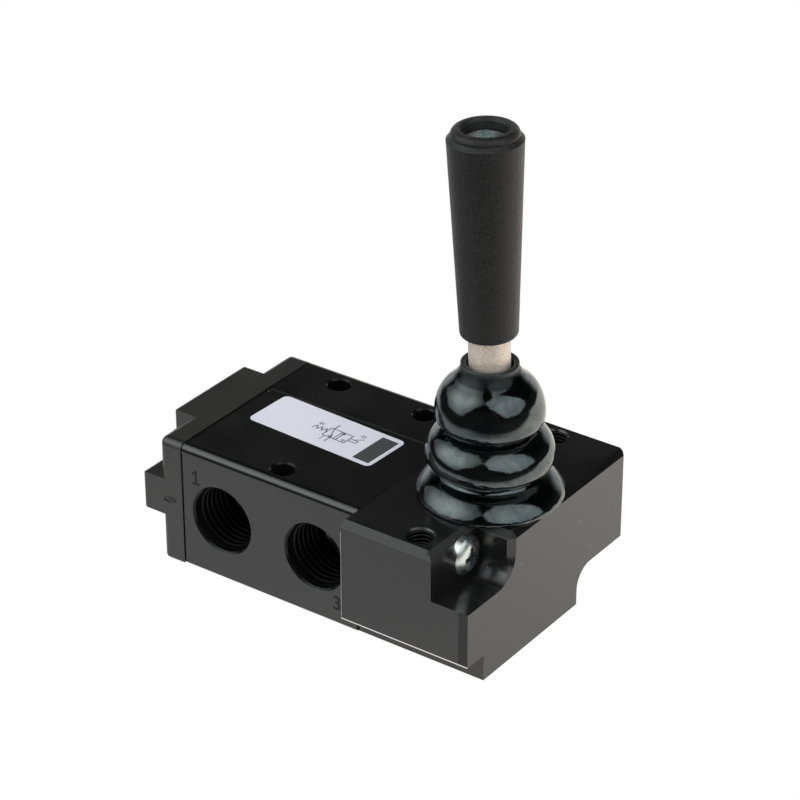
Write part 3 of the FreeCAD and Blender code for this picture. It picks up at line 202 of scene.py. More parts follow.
# The room is white to the camera. In the gloss it is dark, but for a low pale backdrop behind, to the left.
world = bpy.data.worlds.new("room")
world.use_nodes = True
tree = world.node_tree
tree.nodes.clear()
world_rays = node(tree, "ShaderNodeLightPath")
world_way = node(tree, "ShaderNodeTexCoord")
world_split = node(tree, "ShaderNodeSeparateXYZ", {0: world_way.outputs["Generated"]})
world_fade = node(tree, "ShaderNodeMapRange", {
    "From Min": 0.16, "From Max": 0.46, "To Min": 0.95, "To Max": 0.03, "Value": world_split.outputs["Z"],
}, interpolation_type="SMOOTHSTEP")
world_side = node(tree, "ShaderNodeVectorMath", {
    0: world_way.outputs["Generated"], 1: (-0.5, 0.866, 0),
}, operation="DOT_PRODUCT")
world_behind = node(tree, "ShaderNodeMapRange", {
    "From Min": 0.62, "From Max": 0.86, "To Min": 0.03, "Value": world_side.outputs["Value"],
}, interpolation_type="SMOOTHSTEP")
world_backdrop = maths(tree, "MULTIPLY", world_fade, world_behind)
world_plain = node(tree, "ShaderNodeMix", {
    "Factor": world_rays.outputs["Is Glossy Ray"], 2: 0.25, 3: world_backdrop,
}, data_type="FLOAT")
world_seen = node(tree, "ShaderNodeMix", {
    "Factor": world_rays.outputs["Is Camera Ray"], 2: world_plain, 3: 1.0,
}, data_type="FLOAT")
world_light = node(tree, "ShaderNodeBackground", {"Color": (1, 1, 1, 1), "Strength": world_seen})
node(tree, "ShaderNodeOutputWorld", {0: world_light})
bpy.context.scene.world = world

# ---------------------------------------------------------------- valve body
# A block of drilled and milled aluminium, anodised black, with three G1/4 ports.
# Its top is milled a little lower where the label lies, and a bead runs along each upper edge.


def surface_marks():
    """A shader group: fine grain, broad clouding and a few bright specks, on Object coordinates."""
    group = bpy.data.node_groups.new("surface_marks", "ShaderNodeTree")
    inputs = {"Grain Size": 0.0003, "Cloud Size": 0.01, "Speck Size": 0.0012, "Speck Share": 0.02}
    for label, value in inputs.items():
        made = group.interface.new_socket(label, in_out="INPUT", socket_type="NodeSocketFloat")
        made.default_value = value
    for label in ("Grain", "Cloud", "Specks"):
        group.interface.new_socket(label, in_out="OUTPUT", socket_type="NodeSocketFloat")
    start = node(group, "NodeGroupInput")
    end = node(group, "NodeGroupOutput")
    place = node(group, "ShaderNodeTexCoord")
    for label, detail in (("Grain", 2.0), ("Cloud", 4.0)):
        scale = maths(group, "DIVIDE", 1.0, start.outputs[label + " Size"])
        noise = node(group, "ShaderNodeTexNoise", {
            "Detail": detail, "Vector": place.outputs["Object"], "Scale": scale,
        })
        feed(end, {label: noise})
    scale = maths(group, "DIVIDE", 1.0, start.outputs["Speck Size"])
    cells = node(group, "ShaderNodeTexVoronoi", {"Vector": place.outputs["Object"], "Scale": scale})
    dot = node(group, "ShaderNodeMapRange", {
        "From Min": 0.10, "From Max": 0.05, "Value": cells.outputs["Distance"],
    })
    split = node(group, "ShaderNodeSeparateColor", {0: cells.outputs["Color"]})
    chosen = maths(group, "LESS_THAN", split, start.outputs["Speck Share"])
    both = maths(group, "MULTIPLY", dot, chosen)
    feed(end, {"Specks": both})
    return group


MARKS = surface_marks()


def finish(name, dark, light, rough, metallic=0.0, ior=1.5, grain=(0.0003, 4e-6), cloud=0.012,
           specks=(0.0015, 0.0), speck_colour=(0.5, 0.5, 0.48)):
    """A material: colour between dark and light and roughness between two values, by the clouding.

    grain is the size and the height of the bumps, specks the cell size and share of bright specks."""
    paint = bpy.data.materials.new(name)
    paint.use_nodes = True
    tree = paint.node_tree
    marks = node(tree, "ShaderNodeGroup", {
        "Grain Size": grain[0], "Cloud Size": cloud, "Speck Size": specks[0], "Speck Share": specks[1],
    }, node_tree=MARKS)
    shade = node(tree, "ShaderNodeMix", {
        "Factor": marks.outputs["Cloud"], 6: (*dark, 1), 7: (*light, 1),
    }, data_type="RGBA")
    speckled = node(tree, "ShaderNodeMix", {
        "Factor": marks.outputs["Specks"], 6: shade.outputs[2], 7: (*speck_colour, 1),
    }, data_type="RGBA", name="last_colour")
    dull = node(tree, "ShaderNodeMapRange", {
        "From Min": 0.3, "From Max": 0.7, "To Min": rough[0], "To Max": rough[1],
        "Value": marks.outputs["Cloud"],
    }, name="last_roughness")
    bump = node(tree, "ShaderNodeBump", {"Distance": grain[1], "Height": marks.outputs["Grain"]})
    feed(tree.nodes["Principled BSDF"], {
        "Metallic": metallic, "IOR": ior, "Base Color": speckled.outputs[2], "Roughness": dull, "Normal": bump,
    })
    return paint


def dress(material, *names):
    """CAD nodes keep their shape and get this material."""
    for name in names:
        for place in nodes[name].material_slots:
            place.material = material


def within(tree, place, spot, reach):
    """A mask: 1 nearer to a spot than the reach, else 0."""
    away = node(tree, "ShaderNodeVectorMath", {0: place, 1: spot}, operation="DISTANCE")
    return maths(tree, "LESS_THAN", away.outputs["Value"], reach)


def largest(tree, masks):
    """Several masks as one, the largest at each place."""
    whole = masks[0]
    for mask in masks[1:]:
        whole = maths(tree, "MAXIMUM", whole, mask)
    return whole


# Where the ports are along the block and which side they open on: port 1, 2 and 3.
ports = ((-0.01115, -1), (-0.0003, 1), (0.01055, -1))
port_z, port_face, ridge_depth = 0.0125, 0.02008, 0.0017
hole_rim, port_rim, bead_foot, bead_foot_width = 0.00262, 0.00696, 0.02492, 0.00026
# The rims of the holes, the mouths of the ports and the foot of the bead reflect less than the rest of the
# block: painted shade in these hollows and under the bead.
anodised = finish("anodised_black", (0.0025, 0.0025, 0.0026), (0.0045, 0.0045, 0.0046), (0.15, 0.22), ior=1.72,
                  grain=(0.00025, 1.5e-6), specks=(0.0022, 0.012), speck_colour=(0.12, 0.12, 0.12))
tree = anodised.node_tree
rim_place = node(tree, "ShaderNodeTexCoord")
rim_flat = node(tree, "ShaderNodeVectorMath", {
    0: rim_place.outputs["Object"], 1: (1, 1, 0),
}, operation="MULTIPLY")
rims = [within(tree, rim_flat, (across, along, 0), hole_rim)
        for across, along in ((-0.0101, 0.01545), (0.0101, 0.01545), (0.0004, -0.01585))]
rims += [within(tree, rim_place.outputs["Object"], (across, side * port_face, port_z), port_rim)
         for across, side in ports]
bead_split = node(tree, "ShaderNodeSeparateXYZ", {0: rim_place.outputs["Object"]})
rims.append(maths(tree, "COMPARE", bead_split.outputs["Z"], bead_foot, bead_foot_width))
# Painted shade: the reflection is turned down at the hole rims, the port mouths and the bead's foot.
rim_shade = node(tree, "ShaderNodeMapRange", {"To Min": 0.5, "To Max": 0.14, "Value": largest(tree, rims)})
feed(tree.nodes["Principled BSDF"], {"Specular IOR Level": rim_shade})
dress(anodised, "valve_body")


def plain_mesh(name, mesh, material, body="valve"):
    """A finished piece with its place in its mesh, riding on a body."""
    made = bpy.data.objects.new(name, mesh)
    bpy.context.scene.collection.objects.link(made)
    mesh.materials.clear()
    mesh.materials.append(material)
    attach(made, body)
    return made


def grown(name, tree, settings, body="valve"):
    """A piece that a geometry tree grows, turned into a plain mesh. settings are the tree's named inputs."""
    seed = bpy.data.objects.new(name + "_seed", bpy.data.meshes.new(name))
    bpy.context.scene.collection.objects.link(seed)
    grower = seed.modifiers.new("grow", "NODES")
    grower.node_group = tree
    for item in tree.interface.items_tree:
        if item.item_type == "SOCKET" and item.in_out == "INPUT" and item.name in settings:
            grower[item.identifier] = settings[item.name]
    seen = seed.evaluated_get(bpy.context.evaluated_depsgraph_get())
    mesh = bpy.data.meshes.new_from_object(seen)
    seed.modifiers.remove(grower)
    bpy.data.objects.remove(seed)
    mesh.name = name
    made = bpy.data.objects.new(name, mesh)
    bpy.context.scene.collection.objects.link(made)
    if body:
        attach(made, body)
    return made


def new_tree(name, inputs):
    """A geometry tree with named inputs, and its first and last node. A whole number makes a count."""
    tree = bpy.data.node_groups.new(name, "GeometryNodeTree")
    tree.interface.new_socket("Geometry", in_out="OUTPUT", socket_type="NodeSocketGeometry")
    for label, value in inputs.items():
        kind = "Int" if isinstance(value, int) else "Float"
        made = tree.interface.new_socket(label, in_out="INPUT", socket_type="NodeSocket" + kind)
        made.default_value = value
    for label, kind in (("Place", "Vector"), ("Tilt", "Vector"), ("Material", "Material")):
        tree.interface.new_socket(label, in_out="INPUT", socket_type="NodeSocket" + kind)
    return tree, node(tree, "NodeGroupInput"), node(tree, "NodeGroupOutput")


def laid_out(tree, start, end, shape):
    """Ends a geometry tree: what it grew is laid in its place, made real and given its material."""
    laid = node(tree, "GeometryNodeTransform", {
        "Geometry": shape, "Translation": start.outputs["Place"], "Rotation": start.outputs["Tilt"],
    })
    real = node(tree, "GeometryNodeRealizeInstances", {0: laid})
    feed(end, {0: node(tree, "GeometryNodeSetMaterial", {
        "Geometry": real, "Material": start.outputs["Material"],
    })})
    return tree


def thread_turns():
    """A geometry tree: the ridge of an internal thread, wound into its hole and then laid in place."""
    tree, start, end = new_tree("thread_turns", {
        "Major Radius": 0.00658, "Ridge Height": 0.0008, "Pitch": 0.001337, "Turns": 6.0,
    })
    rise = maths(tree, "MULTIPLY", start.outputs["Pitch"], start.outputs["Turns"])
    spiral = node(tree, "GeometryNodeCurveSpiral", {
        "Resolution": 64, "Rotations": start.outputs["Turns"], "Start Radius": start.outputs["Major Radius"],
        "End Radius": start.outputs["Major Radius"], "Height": rise,
    })
    level = node(tree, "GeometryNodeSetCurveNormal", {0: spiral}, mode="Z_UP")
    foot = maths(tree, "MULTIPLY", start.outputs["Pitch"], 0.98)
    crest = maths(tree, "MULTIPLY", start.outputs["Pitch"], 0.14)
    ridge = node(tree, "GeometryNodeCurvePrimitiveQuadrilateral", {
        "Offset": 0, "Bottom Width": foot, "Top Width": crest, "Height": start.outputs["Ridge Height"],
    }, mode="TRAPEZOID")
    inward = node(tree, "GeometryNodeTransform", {"Rotation": (0, 0, math.radians(90)), "Geometry": ridge})
    sweep = node(tree, "GeometryNodeCurveToMesh", {"Fill Caps": True, "Curve": level, "Profile Curve": inward})
    return laid_out(tree, start, end, sweep)


THREAD = thread_turns()
# The thread shines a little more towards the top of the port, where the light reaches in.
port_bore = finish("port_thread_black", (0.0012, 0.0012, 0.0012), (0.0025, 0.0025, 0.0025), (0.34, 0.46),
                   ior=1.27)
tree = port_bore.node_tree
bore_place = node(tree, "ShaderNodeTexCoord")
bore_split = node(tree, "ShaderNodeSeparateXYZ", {0: bore_place.outputs["Object"]})
bore_shine = node(tree, "ShaderNodeMapRange", {
    "From Min": 0.008, "From Max": 0.014, "To Min": 0.16, "To Max": 0.75, "Value": bore_split.outputs["Z"],
})
feed(tree.nodes["Principled BSDF"], {"Specular IOR Level": bore_shine})
for number, (across, side) in enumerate(ports, 1):
    place = Vector((across, side * (port_face - ridge_depth), port_z))
    grown(f"port_{number}_thread", THREAD, {
        "Major Radius": 0.00652, "Ridge Height": 0.0008, "Pitch": 0.001337, "Turns": 6.4,
        "Place": place, "Tilt": Vector((math.radians(90 * side), 0, 0)), "Material": port_bore,
    })


figure_share = 0.7  # of the font's size that a figure is high


def flat_words(name, words, height, depth, place, material, body="valve"):
    """Numbers as thin solid strokes, laid by a matrix. Their middle is at the matrix's own origin."""
    text = bpy.data.curves.new(name, "FONT")
    text.body = words
    text.align_x, text.align_y = "CENTER", "CENTER"
    text.size = height / figure_share
    text.extrude = depth / 2
    text.resolution_u = 4
    text.offset = height * 0.03
    carrier = bpy.data.objects.new(name + "_seed", text)
    bpy.context.scene.collection.objects.link(carrier)
    seen = carrier.evaluated_get(bpy.context.evaluated_depsgraph_get())
    mesh = bpy.data.meshes.new_from_object(seen)
    bpy.data.objects.remove(carrier)
    mesh.transform(place)
    return plain_mesh(name, mesh, material, body)


# The stamped port numbers are thin matt strokes a little darker than the block: painted shade of the stamped
# grooves.
stamped = finish("stamped_number_shade", (0.0015, 0.0015, 0.0015), (0.003, 0.003, 0.003), (0.6, 0.7))
for number, across, height, side in ((2, 0.0056, 0.0198, 1), (3, 0.01563, 0.0042, -1)):
    facing = Matrix.Rotation(math.radians(90 + 90 * side), 4, "Z") @ Matrix.Rotation(math.radians(90), 4, "X")
    flat_words(f"port_number_{number}", str(number), 0.0029, 0.00003,
               Matrix.Translation((across, side * port_face, height)) @ facing, stamped)
# Port 1's number has serifs, so it is drawn from three bars, in millimetres.
one_lines = (((-0.70, 0.75), (0.0, 1.3)), ((0.0, 1.3), (0.0, -1.3)), ((-0.62, -1.3), (0.62, -1.3)))
one_half_width, one_x, one_z = 0.23, -0.01707, 0.0198
one_points, one_faces = [], []
for (x0, z0), (x1, z1) in one_lines:
    along = Vector((x1 - x0, 0, z1 - z0)).normalized() * one_half_width
    across = Vector((along.z, 0, -along.x))
    first, last = Vector((x0, 0, z0)) - along, Vector((x1, 0, z1)) + along
    lift_off = Vector((0, -0.03 - 0.003 * len(one_faces) / 5, 0))  # so that no two bars share a plane
    ring = [first - across, last - across, last + across, first + across]
    base = len(one_points)
    one_points += [point + Vector((0, 0.02, 0)) for point in ring] + [point + lift_off for point in ring]
    one_faces += [(base, base + 1, base + 2, base + 3), (base + 7, base + 6, base + 5, base + 4)]
    one_faces += [(base + i, base + 4 + i, base + 4 + (i + 1) % 4, base + (i + 1) % 4) for i in range(4)]
one_mesh = bpy.data.meshes.new("port_number_1")
one_points = [(x / 1000 + one_x, y / 1000 - port_face, z / 1000 + one_z) for x, y, z in one_points]
one_mesh.from_pydata(one_points, [], one_faces)
plain_mesh("port_number_1", one_mesh, stamped)

# ---------------------------------------------------------------- label
# A printed adhesive label in the milled shallow of the body's top. It carries a plain dark band
# and the valve's circuit sign with its port numbers, which read from the far side.
label_lay = Matrix.Translation((-0.0016, 0.0001, 0.0)) @ Matrix.Rotation(math.radians(-2.6), 4, "Z")
label_half = (0.01465, 0.00565)
label_base, label_thick = 0.02578, 0.00007


def plate_mesh(name, corners, low, high, material):
    """A flat plate with this outline, in the label's own turned frame."""
    count = len(corners)
    points = [label_lay @ Vector((x, y, height)) for height in (low, high) for x, y in corners]
    faces = [tuple(reversed(range(count))), tuple(range(count, 2 * count))]
    faces += [(i, (i + 1) % count, count + (i + 1) % count, count + i) for i in range(count)]
    mesh = bpy.data.meshes.new(name)
    mesh.from_pydata([tuple(p) for p in points], [], faces)
    return plain_mesh(name, mesh, material)


def rounded(half_x, half_y, radius, mid=(0.0, 0.0)):
    """The corners of a rectangle with rounded corners, counter-clockwise."""
    corners = []
    for quarter, (sx, sy) in enumerate(((1, 1), (-1, 1), (-1, -1), (1, -1))):
        for step in range(9):
            angle = math.radians(90 * quarter + step * 90 / 8)
            corners.append((mid[0] + sx * (half_x - radius) + radius * math.cos(angle),
                            mid[1] + sy * (half_y - radius) + radius * math.sin(angle)))
    return corners


label_paper = finish("label_paper", (0.66, 0.67, 0.76), (0.71, 0.72, 0.80), (0.45, 0.55), grain=(0.0004, 2e-6))
label_ink = finish("label_ink", (0.035, 0.037, 0.042), (0.055, 0.058, 0.062), (0.5, 0.6), grain=(0.0002, 1e-6))
plate_mesh("label", rounded(*label_half, 0.0012), label_base, label_base + label_thick, label_paper)
ink_low, ink_high = label_base + label_thick, label_base + label_thick + 0.000012
plate_mesh("label_band", rounded(0.0019, 0.0046, 0.0001, (0.0119, -0.0001)), ink_low, ink_high, label_ink)


def stroke(name, ends, width=0.0002):
    """One printed line between two points of the label, in millimetres."""
    (x0, y0), (x1, y1) = [(x / 1000, y / 1000) for x, y in ends]
    along = Vector((x1 - x0, y1 - y0)).normalized() * width / 2
    across = Vector((-along.y, along.x))
    first, last = Vector((x0, y0)) - along, Vector((x1, y1)) + along
    corners = [first - across, last - across, last + across, first + across]
    plate_mesh(name, corners, ink_low, ink_high, label_ink)


# The sign, in millimetres: two squares side by side, the flow arrow and the closed port of each,
# then the spring, the port lines, the lever and its arrow.
sign_low, sign_high, sign_x = -1.7, 1.3, (0.3, 2.9, 5.5)
sign = [((sign_x[0], sign_low), (sign_x[2], sign_low)), ((sign_x[0], sign_high), (sign_x[2], sign_high))]
sign += [((x, sign_low), (x, sign_high)) for x in sign_x]
sign += [((0.9, sign_high), (2.2, sign_low)), ((2.2, sign_low), (2.15, -0.9)), ((2.2, sign_low), (1.5, -1.25))]
sign += [((3.5, sign_high), (3.5, sign_low)), ((3.5, sign_high), (3.2, 0.6)), ((3.5, sign_high), (3.8, 0.6))]
sign += [((4.8, sign_low), (4.8, -0.9)), ((4.5, -0.9), (5.1, -0.9)), ((0.9, sign_high), (0.9, 2.0))]
spring_x = [0.3 - 0.55 * step for step in range(7)]
sign += [((spring_x[i], 0.5 if i % 2 else -0.6), (spring_x[i + 1], -0.6 if i % 2 else 0.5)) for i in range(6)]
sign += [((0.9, sign_low), (0.9, -2.4)), ((2.2, sign_low), (2.2, -2.4))]
sign += [((5.5, 0.3), (7.4, 0.3)), ((5.5, -0.5), (7.4, -0.5)), ((7.4, 0.3), (7.4, -0.5))]
sign += [((6.4, 0.3), (7.9, 1.5))]
for index, ends in enumerate(sign):
    stroke(f"label_sign_{index + 1}", ends)
for words, x, y in (
    ("2", 0.9, 2.55), ("1", 0.9, -2.95), ("3", 2.2, -2.95), ("10", -2.2, 1.5), ("12", 7.2, 2.4),
):
    spot = Matrix.Translation((x / 1000, y / 1000, (ink_low + ink_high) / 2)) @ Matrix.Rotation(math.pi, 4, "Z")
    flat_words(f"label_number_{words}", words, 0.0008, ink_high - ink_low, label_lay @ spot, label_ink)

# ---------------------------------------------------------------- end cap
# Moulded black plastic: a plate with a cross-shaped spring block, held by two countersunk screws.
# The mark of the mould's gate is left on the near end of its cross bar.
moulded = finish("moulded_black", (0.006, 0.006, 0.0055), (0.010, 0.010, 0.009), (0.30, 0.38), ior=1.70,
                 grain=(0.00018, 4e-6), specks=(0.0018, 0.02), speck_colour=(0.10, 0.10, 0.10))
dress(moulded, "end_cap")
gate_x, gate_z, gate_y = -0.0236, 0.0128, -0.02022
# Each ring of the mark: half its length, half its height and where it lies off the bar's end.
gate_rings = (
    (0.00150, 0.00066, 0.0), (0.00145, 0.0006, -0.0002), (0.00122, 0.00042, -0.0002), (0.00117, 0.00038, 0.0),
)
gate_points, gate_faces, around, stub_around = [], [], 40, 12
for half_long, half_high, proud in gate_rings:
    for step in range(around):
        angle = 2 * math.pi * step / around
        pinch = 1 - 0.35 * abs(math.cos(angle)) ** 3
        gate_points.append((gate_x + half_long * math.cos(angle), gate_y + proud,
                            gate_z + half_high * pinch * math.sin(angle)))
last_ring = (len(gate_rings) - 1) * around
for ring in range(len(gate_rings) - 1):
    for step in range(around):
        here, there = ring * around + step, ring * around + (step + 1) % around
        gate_faces.append((here, there, there + around, here + around))
gate_faces.append(tuple(range(last_ring, last_ring + around)))
base = len(gate_points)
for radius, proud in ((0.00026, 0.0), (0.0002, -0.00012)):
    for step in range(stub_around):
        angle = 2 * math.pi * step / stub_around
        gate_points.append((gate_x + radius * math.cos(angle), gate_y + proud,
                            gate_z + radius * math.sin(angle)))
for step in range(stub_around):
    here, there = base + step, base + (step + 1) % stub_around
    gate_faces.append((here, there, there + stub_around, here + stub_around))
gate_faces.append(tuple(range(base + stub_around, base + 2 * stub_around)))
gate_mesh = bpy.data.meshes.new("gate_mark")
gate_mesh.from_pydata(gate_points, [], gate_faces)
plain_mesh("gate_mark", gate_mesh, moulded)

# ---------------------------------------------------------------- lever housing
# A second milled block, black anodised, that overhangs the body on both sides. The milling runs through
# the coat along its lower near edge and up the corner behind, so bare aluminium shows there as a thin line,
# painted bright as the highlight of that edge.
housing_black = finish("anodised_housing", (0.0060, 0.0060, 0.0061), (0.0085, 0.0085, 0.0086), (0.14, 0.21),
                       ior=1.64, grain=(0.00025, 1.5e-6), specks=(0.0024, 0.012),
                       speck_colour=(0.12, 0.12, 0.12))


def bare_edges(material):
    """Adds the bare edge lines, painted bright as edge highlights, and the duller strips that the mill left, by
    place in the shared frame.
    """
    tree = material.node_tree
    place = node(tree, "ShaderNodeTexCoord")
    split = node(tree, "ShaderNodeSeparateXYZ", {0: place.outputs["Object"]})

    def band(axis, low, high):
        """1 between low and high along an axis, else 0."""
        over = maths(tree, "GREATER_THAN", split.outputs[axis], low)
        under = maths(tree, "LESS_THAN", split.outputs[axis], high)
        return maths(tree, "MULTIPLY", over, under)

    def both(first, second):
        """1 where both masks are."""
        return maths(tree, "MULTIPLY", first, second)

    near = band(1, -0.0249, -0.02476)
    low_edge = band(2, 0.0051, 0.00556)
    back_edge = both(band(0, 0.0200, 0.02024), band(2, 0.0052, 0.0238))
    # Painted highlight: a bright metal line along the lower near edge, fainter up the corner behind.
    bare = both(near, largest(tree, [low_edge, both(back_edge, 0.35)]))
    strip = both(near, both(band(0, 0.0459, 0.0479), band(2, 0.0055, 0.0166)))
    cut_edge = both(band(1, -0.02476, -0.02361), band(2, 0.02484, 0.02599))
    pocket_lead = both(both(band(0, 0.0385, 0.0479), band(1, -0.0242, -0.0095)), band(2, 0.02484, 0.02599))
    dull = largest(tree, [strip, both(cut_edge, 0.5), pocket_lead])
    colour = node(tree, "ShaderNodeMix", {
        "Factor": bare, 6: tree.nodes["last_colour"].outputs[2], 7: (0.92, 0.92, 0.90, 1),
    }, data_type="RGBA")
    rough = node(tree, "ShaderNodeMix", {
        "Factor": dull, 2: tree.nodes["last_roughness"], 3: 0.8,
    }, data_type="FLOAT")
    feed(tree.nodes["Principled BSDF"], {"Base Color": colour.outputs[2], "Metallic": bare, "Roughness": rough})


bare_edges(housing_black)
dress(housing_black, "lever_housing")
for side, across in (("near", -0.02035), ("far", 0.0229)):
    grown(f"panel_thread_{side}", THREAD, {
        "Major Radius": 0.00248, "Ridge Height": 0.00040, "Pitch": 0.0008, "Turns": 9.5,
        "Place": Vector((0.0345, across, 0.0256)), "Tilt": Vector((math.pi, 0, 0)), "Material": port_bore,
    })

# ---------------------------------------------------------------- screws
# M4 zinc plated steel screws: pan heads in the housing's pockets, countersunk ones in the cap,
# all with a cross recess and the four short marks between its arms.
zinc = finish("zinc_plate", (0.56, 0.62, 0.60), (0.80, 0.86, 0.83), (0.22, 0.32), metallic=1.0,
              grain=(0.0004, 8e-6), cloud=0.0012)


def dark_recess(material, axes, reach=0.0019, arm=0.00042):
    """Paints shade into the cross recesses: round each axis, given by its y and z, over the width of their
    arms.
    """
    tree = material.node_tree
    place = node(tree, "ShaderNodeTexCoord")
    flat = node(tree, "ShaderNodeVectorMath", {0: place.outputs["Object"], 1: (0, 1, 1)}, operation="MULTIPLY")
    recess_shades = []
    for across, height in axes:
        offset = node(tree, "ShaderNodeVectorMath", {0: flat, 1: (0, across, height)}, operation="SUBTRACT")
        size_off = node(tree, "ShaderNodeVectorMath", {0: offset}, operation="ABSOLUTE")
        parts = node(tree, "ShaderNodeSeparateXYZ", {0: size_off})
        least = maths(tree, "MINIMUM", parts.outputs[1], parts.outputs[2])
        slim = maths(tree, "LESS_THAN", least, arm)
        recess_shades.append(maths(tree, "MULTIPLY", within(tree, flat, (0, across, height), reach), slim))
    colour = node(tree, "ShaderNodeMix", {
        "Factor": largest(tree, recess_shades), 6: tree.nodes["last_colour"].outputs[2], 7: (0.06, 0.07, 0.07, 1),
    }, data_type="RGBA")
    feed(tree.nodes["Principled BSDF"], {"Base Color": colour.outputs[2]})


# Each screw's axis, by its y and z.
housing_screws = {"near": (-0.0153, 0.0217), "far": (0.0153, 0.0037)}
cap_screws = {"near": (-0.0153, 0.0217), "far": (0.0153, 0.0043)}
cap_zinc = zinc.copy()
cap_zinc.name = "cap_zinc_plate"
# Painted shade in the cross recesses of the screw heads.
dark_recess(zinc, housing_screws.values())
dark_recess(cap_zinc, cap_screws.values())
dress(zinc, "housing_screws")
dress(cap_zinc, "cap_screws")


def drive_marks():
    """A geometry tree: four short ridges on a screw's head, between the arms of its cross."""
    tree, start, end = new_tree("drive_marks", {
        "Inner Radius": 0.0014, "Mark Length": 0.0012, "Mark Width": 0.00016, "Mark Height": 0.0003,
        "Dome Drop": 0.0,
    })
    half = maths(tree, "MULTIPLY_ADD", start.outputs["Mark Length"], 0.5, start.outputs["Inner Radius"])
    box_size = node(tree, "ShaderNodeCombineXYZ", {
        0: start.outputs["Mark Length"], 1: start.outputs["Mark Width"], 2: start.outputs["Mark Height"],
    })
    bar = node(tree, "GeometryNodeMeshCube", {"Size": box_size})
    shift = node(tree, "ShaderNodeCombineXYZ", {0: half})
    lean = node(tree, "ShaderNodeCombineXYZ", {1: start.outputs["Dome Drop"]})
    out_there = node(tree, "GeometryNodeTransform", {"Geometry": bar, "Translation": shift, "Rotation": lean})
    ring = node(tree, "GeometryNodeMeshCircle", {"Vertices": 4, "Radius": 1e-7})
    number = node(tree, "GeometryNodeInputIndex")
    angle = maths(tree, "MULTIPLY_ADD", number, math.radians(90), math.radians(45))
    spin = node(tree, "ShaderNodeCombineXYZ", {2: angle})
    copies = node(tree, "GeometryNodeInstanceOnPoints", {
        "Points": ring, "Instance": out_there, "Rotation": spin,
    })
    return laid_out(tree, start, end, copies)


MARKED = drive_marks()
pocket_wall, pan_height, cap_face = 0.03995, 0.0019, -0.02555
for name, (across, height) in housing_screws.items():
    grown(f"housing_screw_marks_{name}", MARKED, {
        "Inner Radius": 0.00125, "Mark Length": 0.0013, "Mark Width": 0.00016, "Mark Height": 0.00022,
        "Dome Drop": 0.26, "Place": Vector((pocket_wall + pan_height, across, height)),
        "Tilt": Vector((0, math.radians(90), 0)), "Material": zinc,
    })
for name, (across, height) in cap_screws.items():
    grown(f"cap_screw_marks_{name}", MARKED, {
        "Inner Radius": 0.0013, "Mark Length": 0.0013, "Mark Width": 0.00014, "Mark Height": 0.00006,
        "Dome Drop": 0.0, "Place": Vector((cap_face, across, height)),
        "Tilt": Vector((0, math.radians(-90), 0)), "Material": zinc,
    })

# ---------------------------------------------------------------- pieces inside
# Turned aluminium spool, plunger and carrier, rubber rings, a steel pin and retaining ring,
# a plastic spring seat and a brass bush. They show only where an opening lets them.
seal_black = finish("seal_rubber", (0.008, 0.008, 0.008), (0.013, 0.013, 0.013), (0.45, 0.55),
                    grain=(0.0002, 4e-6))
turned_aluminium = finish("turned_aluminium", (0.66, 0.67, 0.68), (0.76, 0.77, 0.78), (0.24, 0.34),
                          metallic=1.0)
ground_steel = finish("ground_steel", (0.55, 0.55, 0.55), (0.64, 0.64, 0.64), (0.16, 0.26), metallic=1.0)
spring_steel = finish("spring_wire", (0.42, 0.42, 0.43), (0.52, 0.52, 0.53), (0.28, 0.38), metallic=1.0)
brass = finish("bush_brass", (0.66, 0.47, 0.20), (0.76, 0.56, 0.26), (0.22, 0.34), metallic=1.0)
seat_white = finish("seat_plastic", (0.62, 0.62, 0.59), (0.70, 0.70, 0.66), (0.40, 0.50))
dress(seal_black, "cap_seal", "housing_seal", "spool_seals")
dress(turned_aluminium, "spool", "plunger", "pivot_carrier")
dress(ground_steel, "pivot_pin")
dress(spring_steel, "carrier_ring")
dress(brass, "pivot_bush")
dress(seat_white, "spring_seat")

# ---------------------------------------------------------------- return spring
# A coil of spring steel wire between the cap's end wall and the spring seat,
# its coils drawn along the gap between them.
spring_low, spring_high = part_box("return_spring")
spring_wire, spring_radius, spring_turns, spring_steps, spring_sides = 0.00045, 0.0042, 5, 32, 10
spring_z = (spring_low[2] + spring_high[2]) / 2
spring_points, spring_faces = [], []
spring_count = spring_turns * spring_steps
spring_length = spring_high[0] - spring_low[0] - 2 * spring_wire
for step in range(spring_count + 1):
    angle = 2 * math.pi * step / spring_steps
    along = spring_low[0] + spring_wire + spring_length * step / spring_count
    for side in range(spring_sides):
        turn = 2 * math.pi * side / spring_sides
        reach = spring_radius + spring_wire * math.sin(turn)
        spring_points.append((along + spring_wire * math.cos(turn), reach * math.sin(angle),
                              spring_z - reach * math.cos(angle)))
    if step:
        here, back = step * spring_sides, (step - 1) * spring_sides
        spring_faces += [(back + i, back + (i + 1) % spring_sides, here + (i + 1) % spring_sides, here + i)
                         for i in range(spring_sides)]
spring_faces.append(tuple(reversed(range(spring_sides))))
spring_faces.append(tuple(range(spring_count * spring_sides, (spring_count + 1) * spring_sides)))
spring_mesh = bpy.data.meshes.new("return_spring_coil")
spring_mesh.from_pydata(spring_points, [], spring_faces)
spring_mesh.materials.append(spring_steel)
spring_mesh.shade_smooth()
spring_coil = bpy.data.objects.new("return_spring_coil", spring_mesh)
bpy.context.scene.collection.objects.link(spring_coil)
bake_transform(spring_coil)
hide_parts("return_spring")

# ---------------------------------------------------------------- boot
# A moulded rubber bellows with two bulges over a flared foot. Its bead is snapped round the carrier's neck,
# and its collar sits round the rod.
lower_crease, upper_crease, shoulder, boot_height = 0.0058, 0.0136, 0.0215, 0.0258


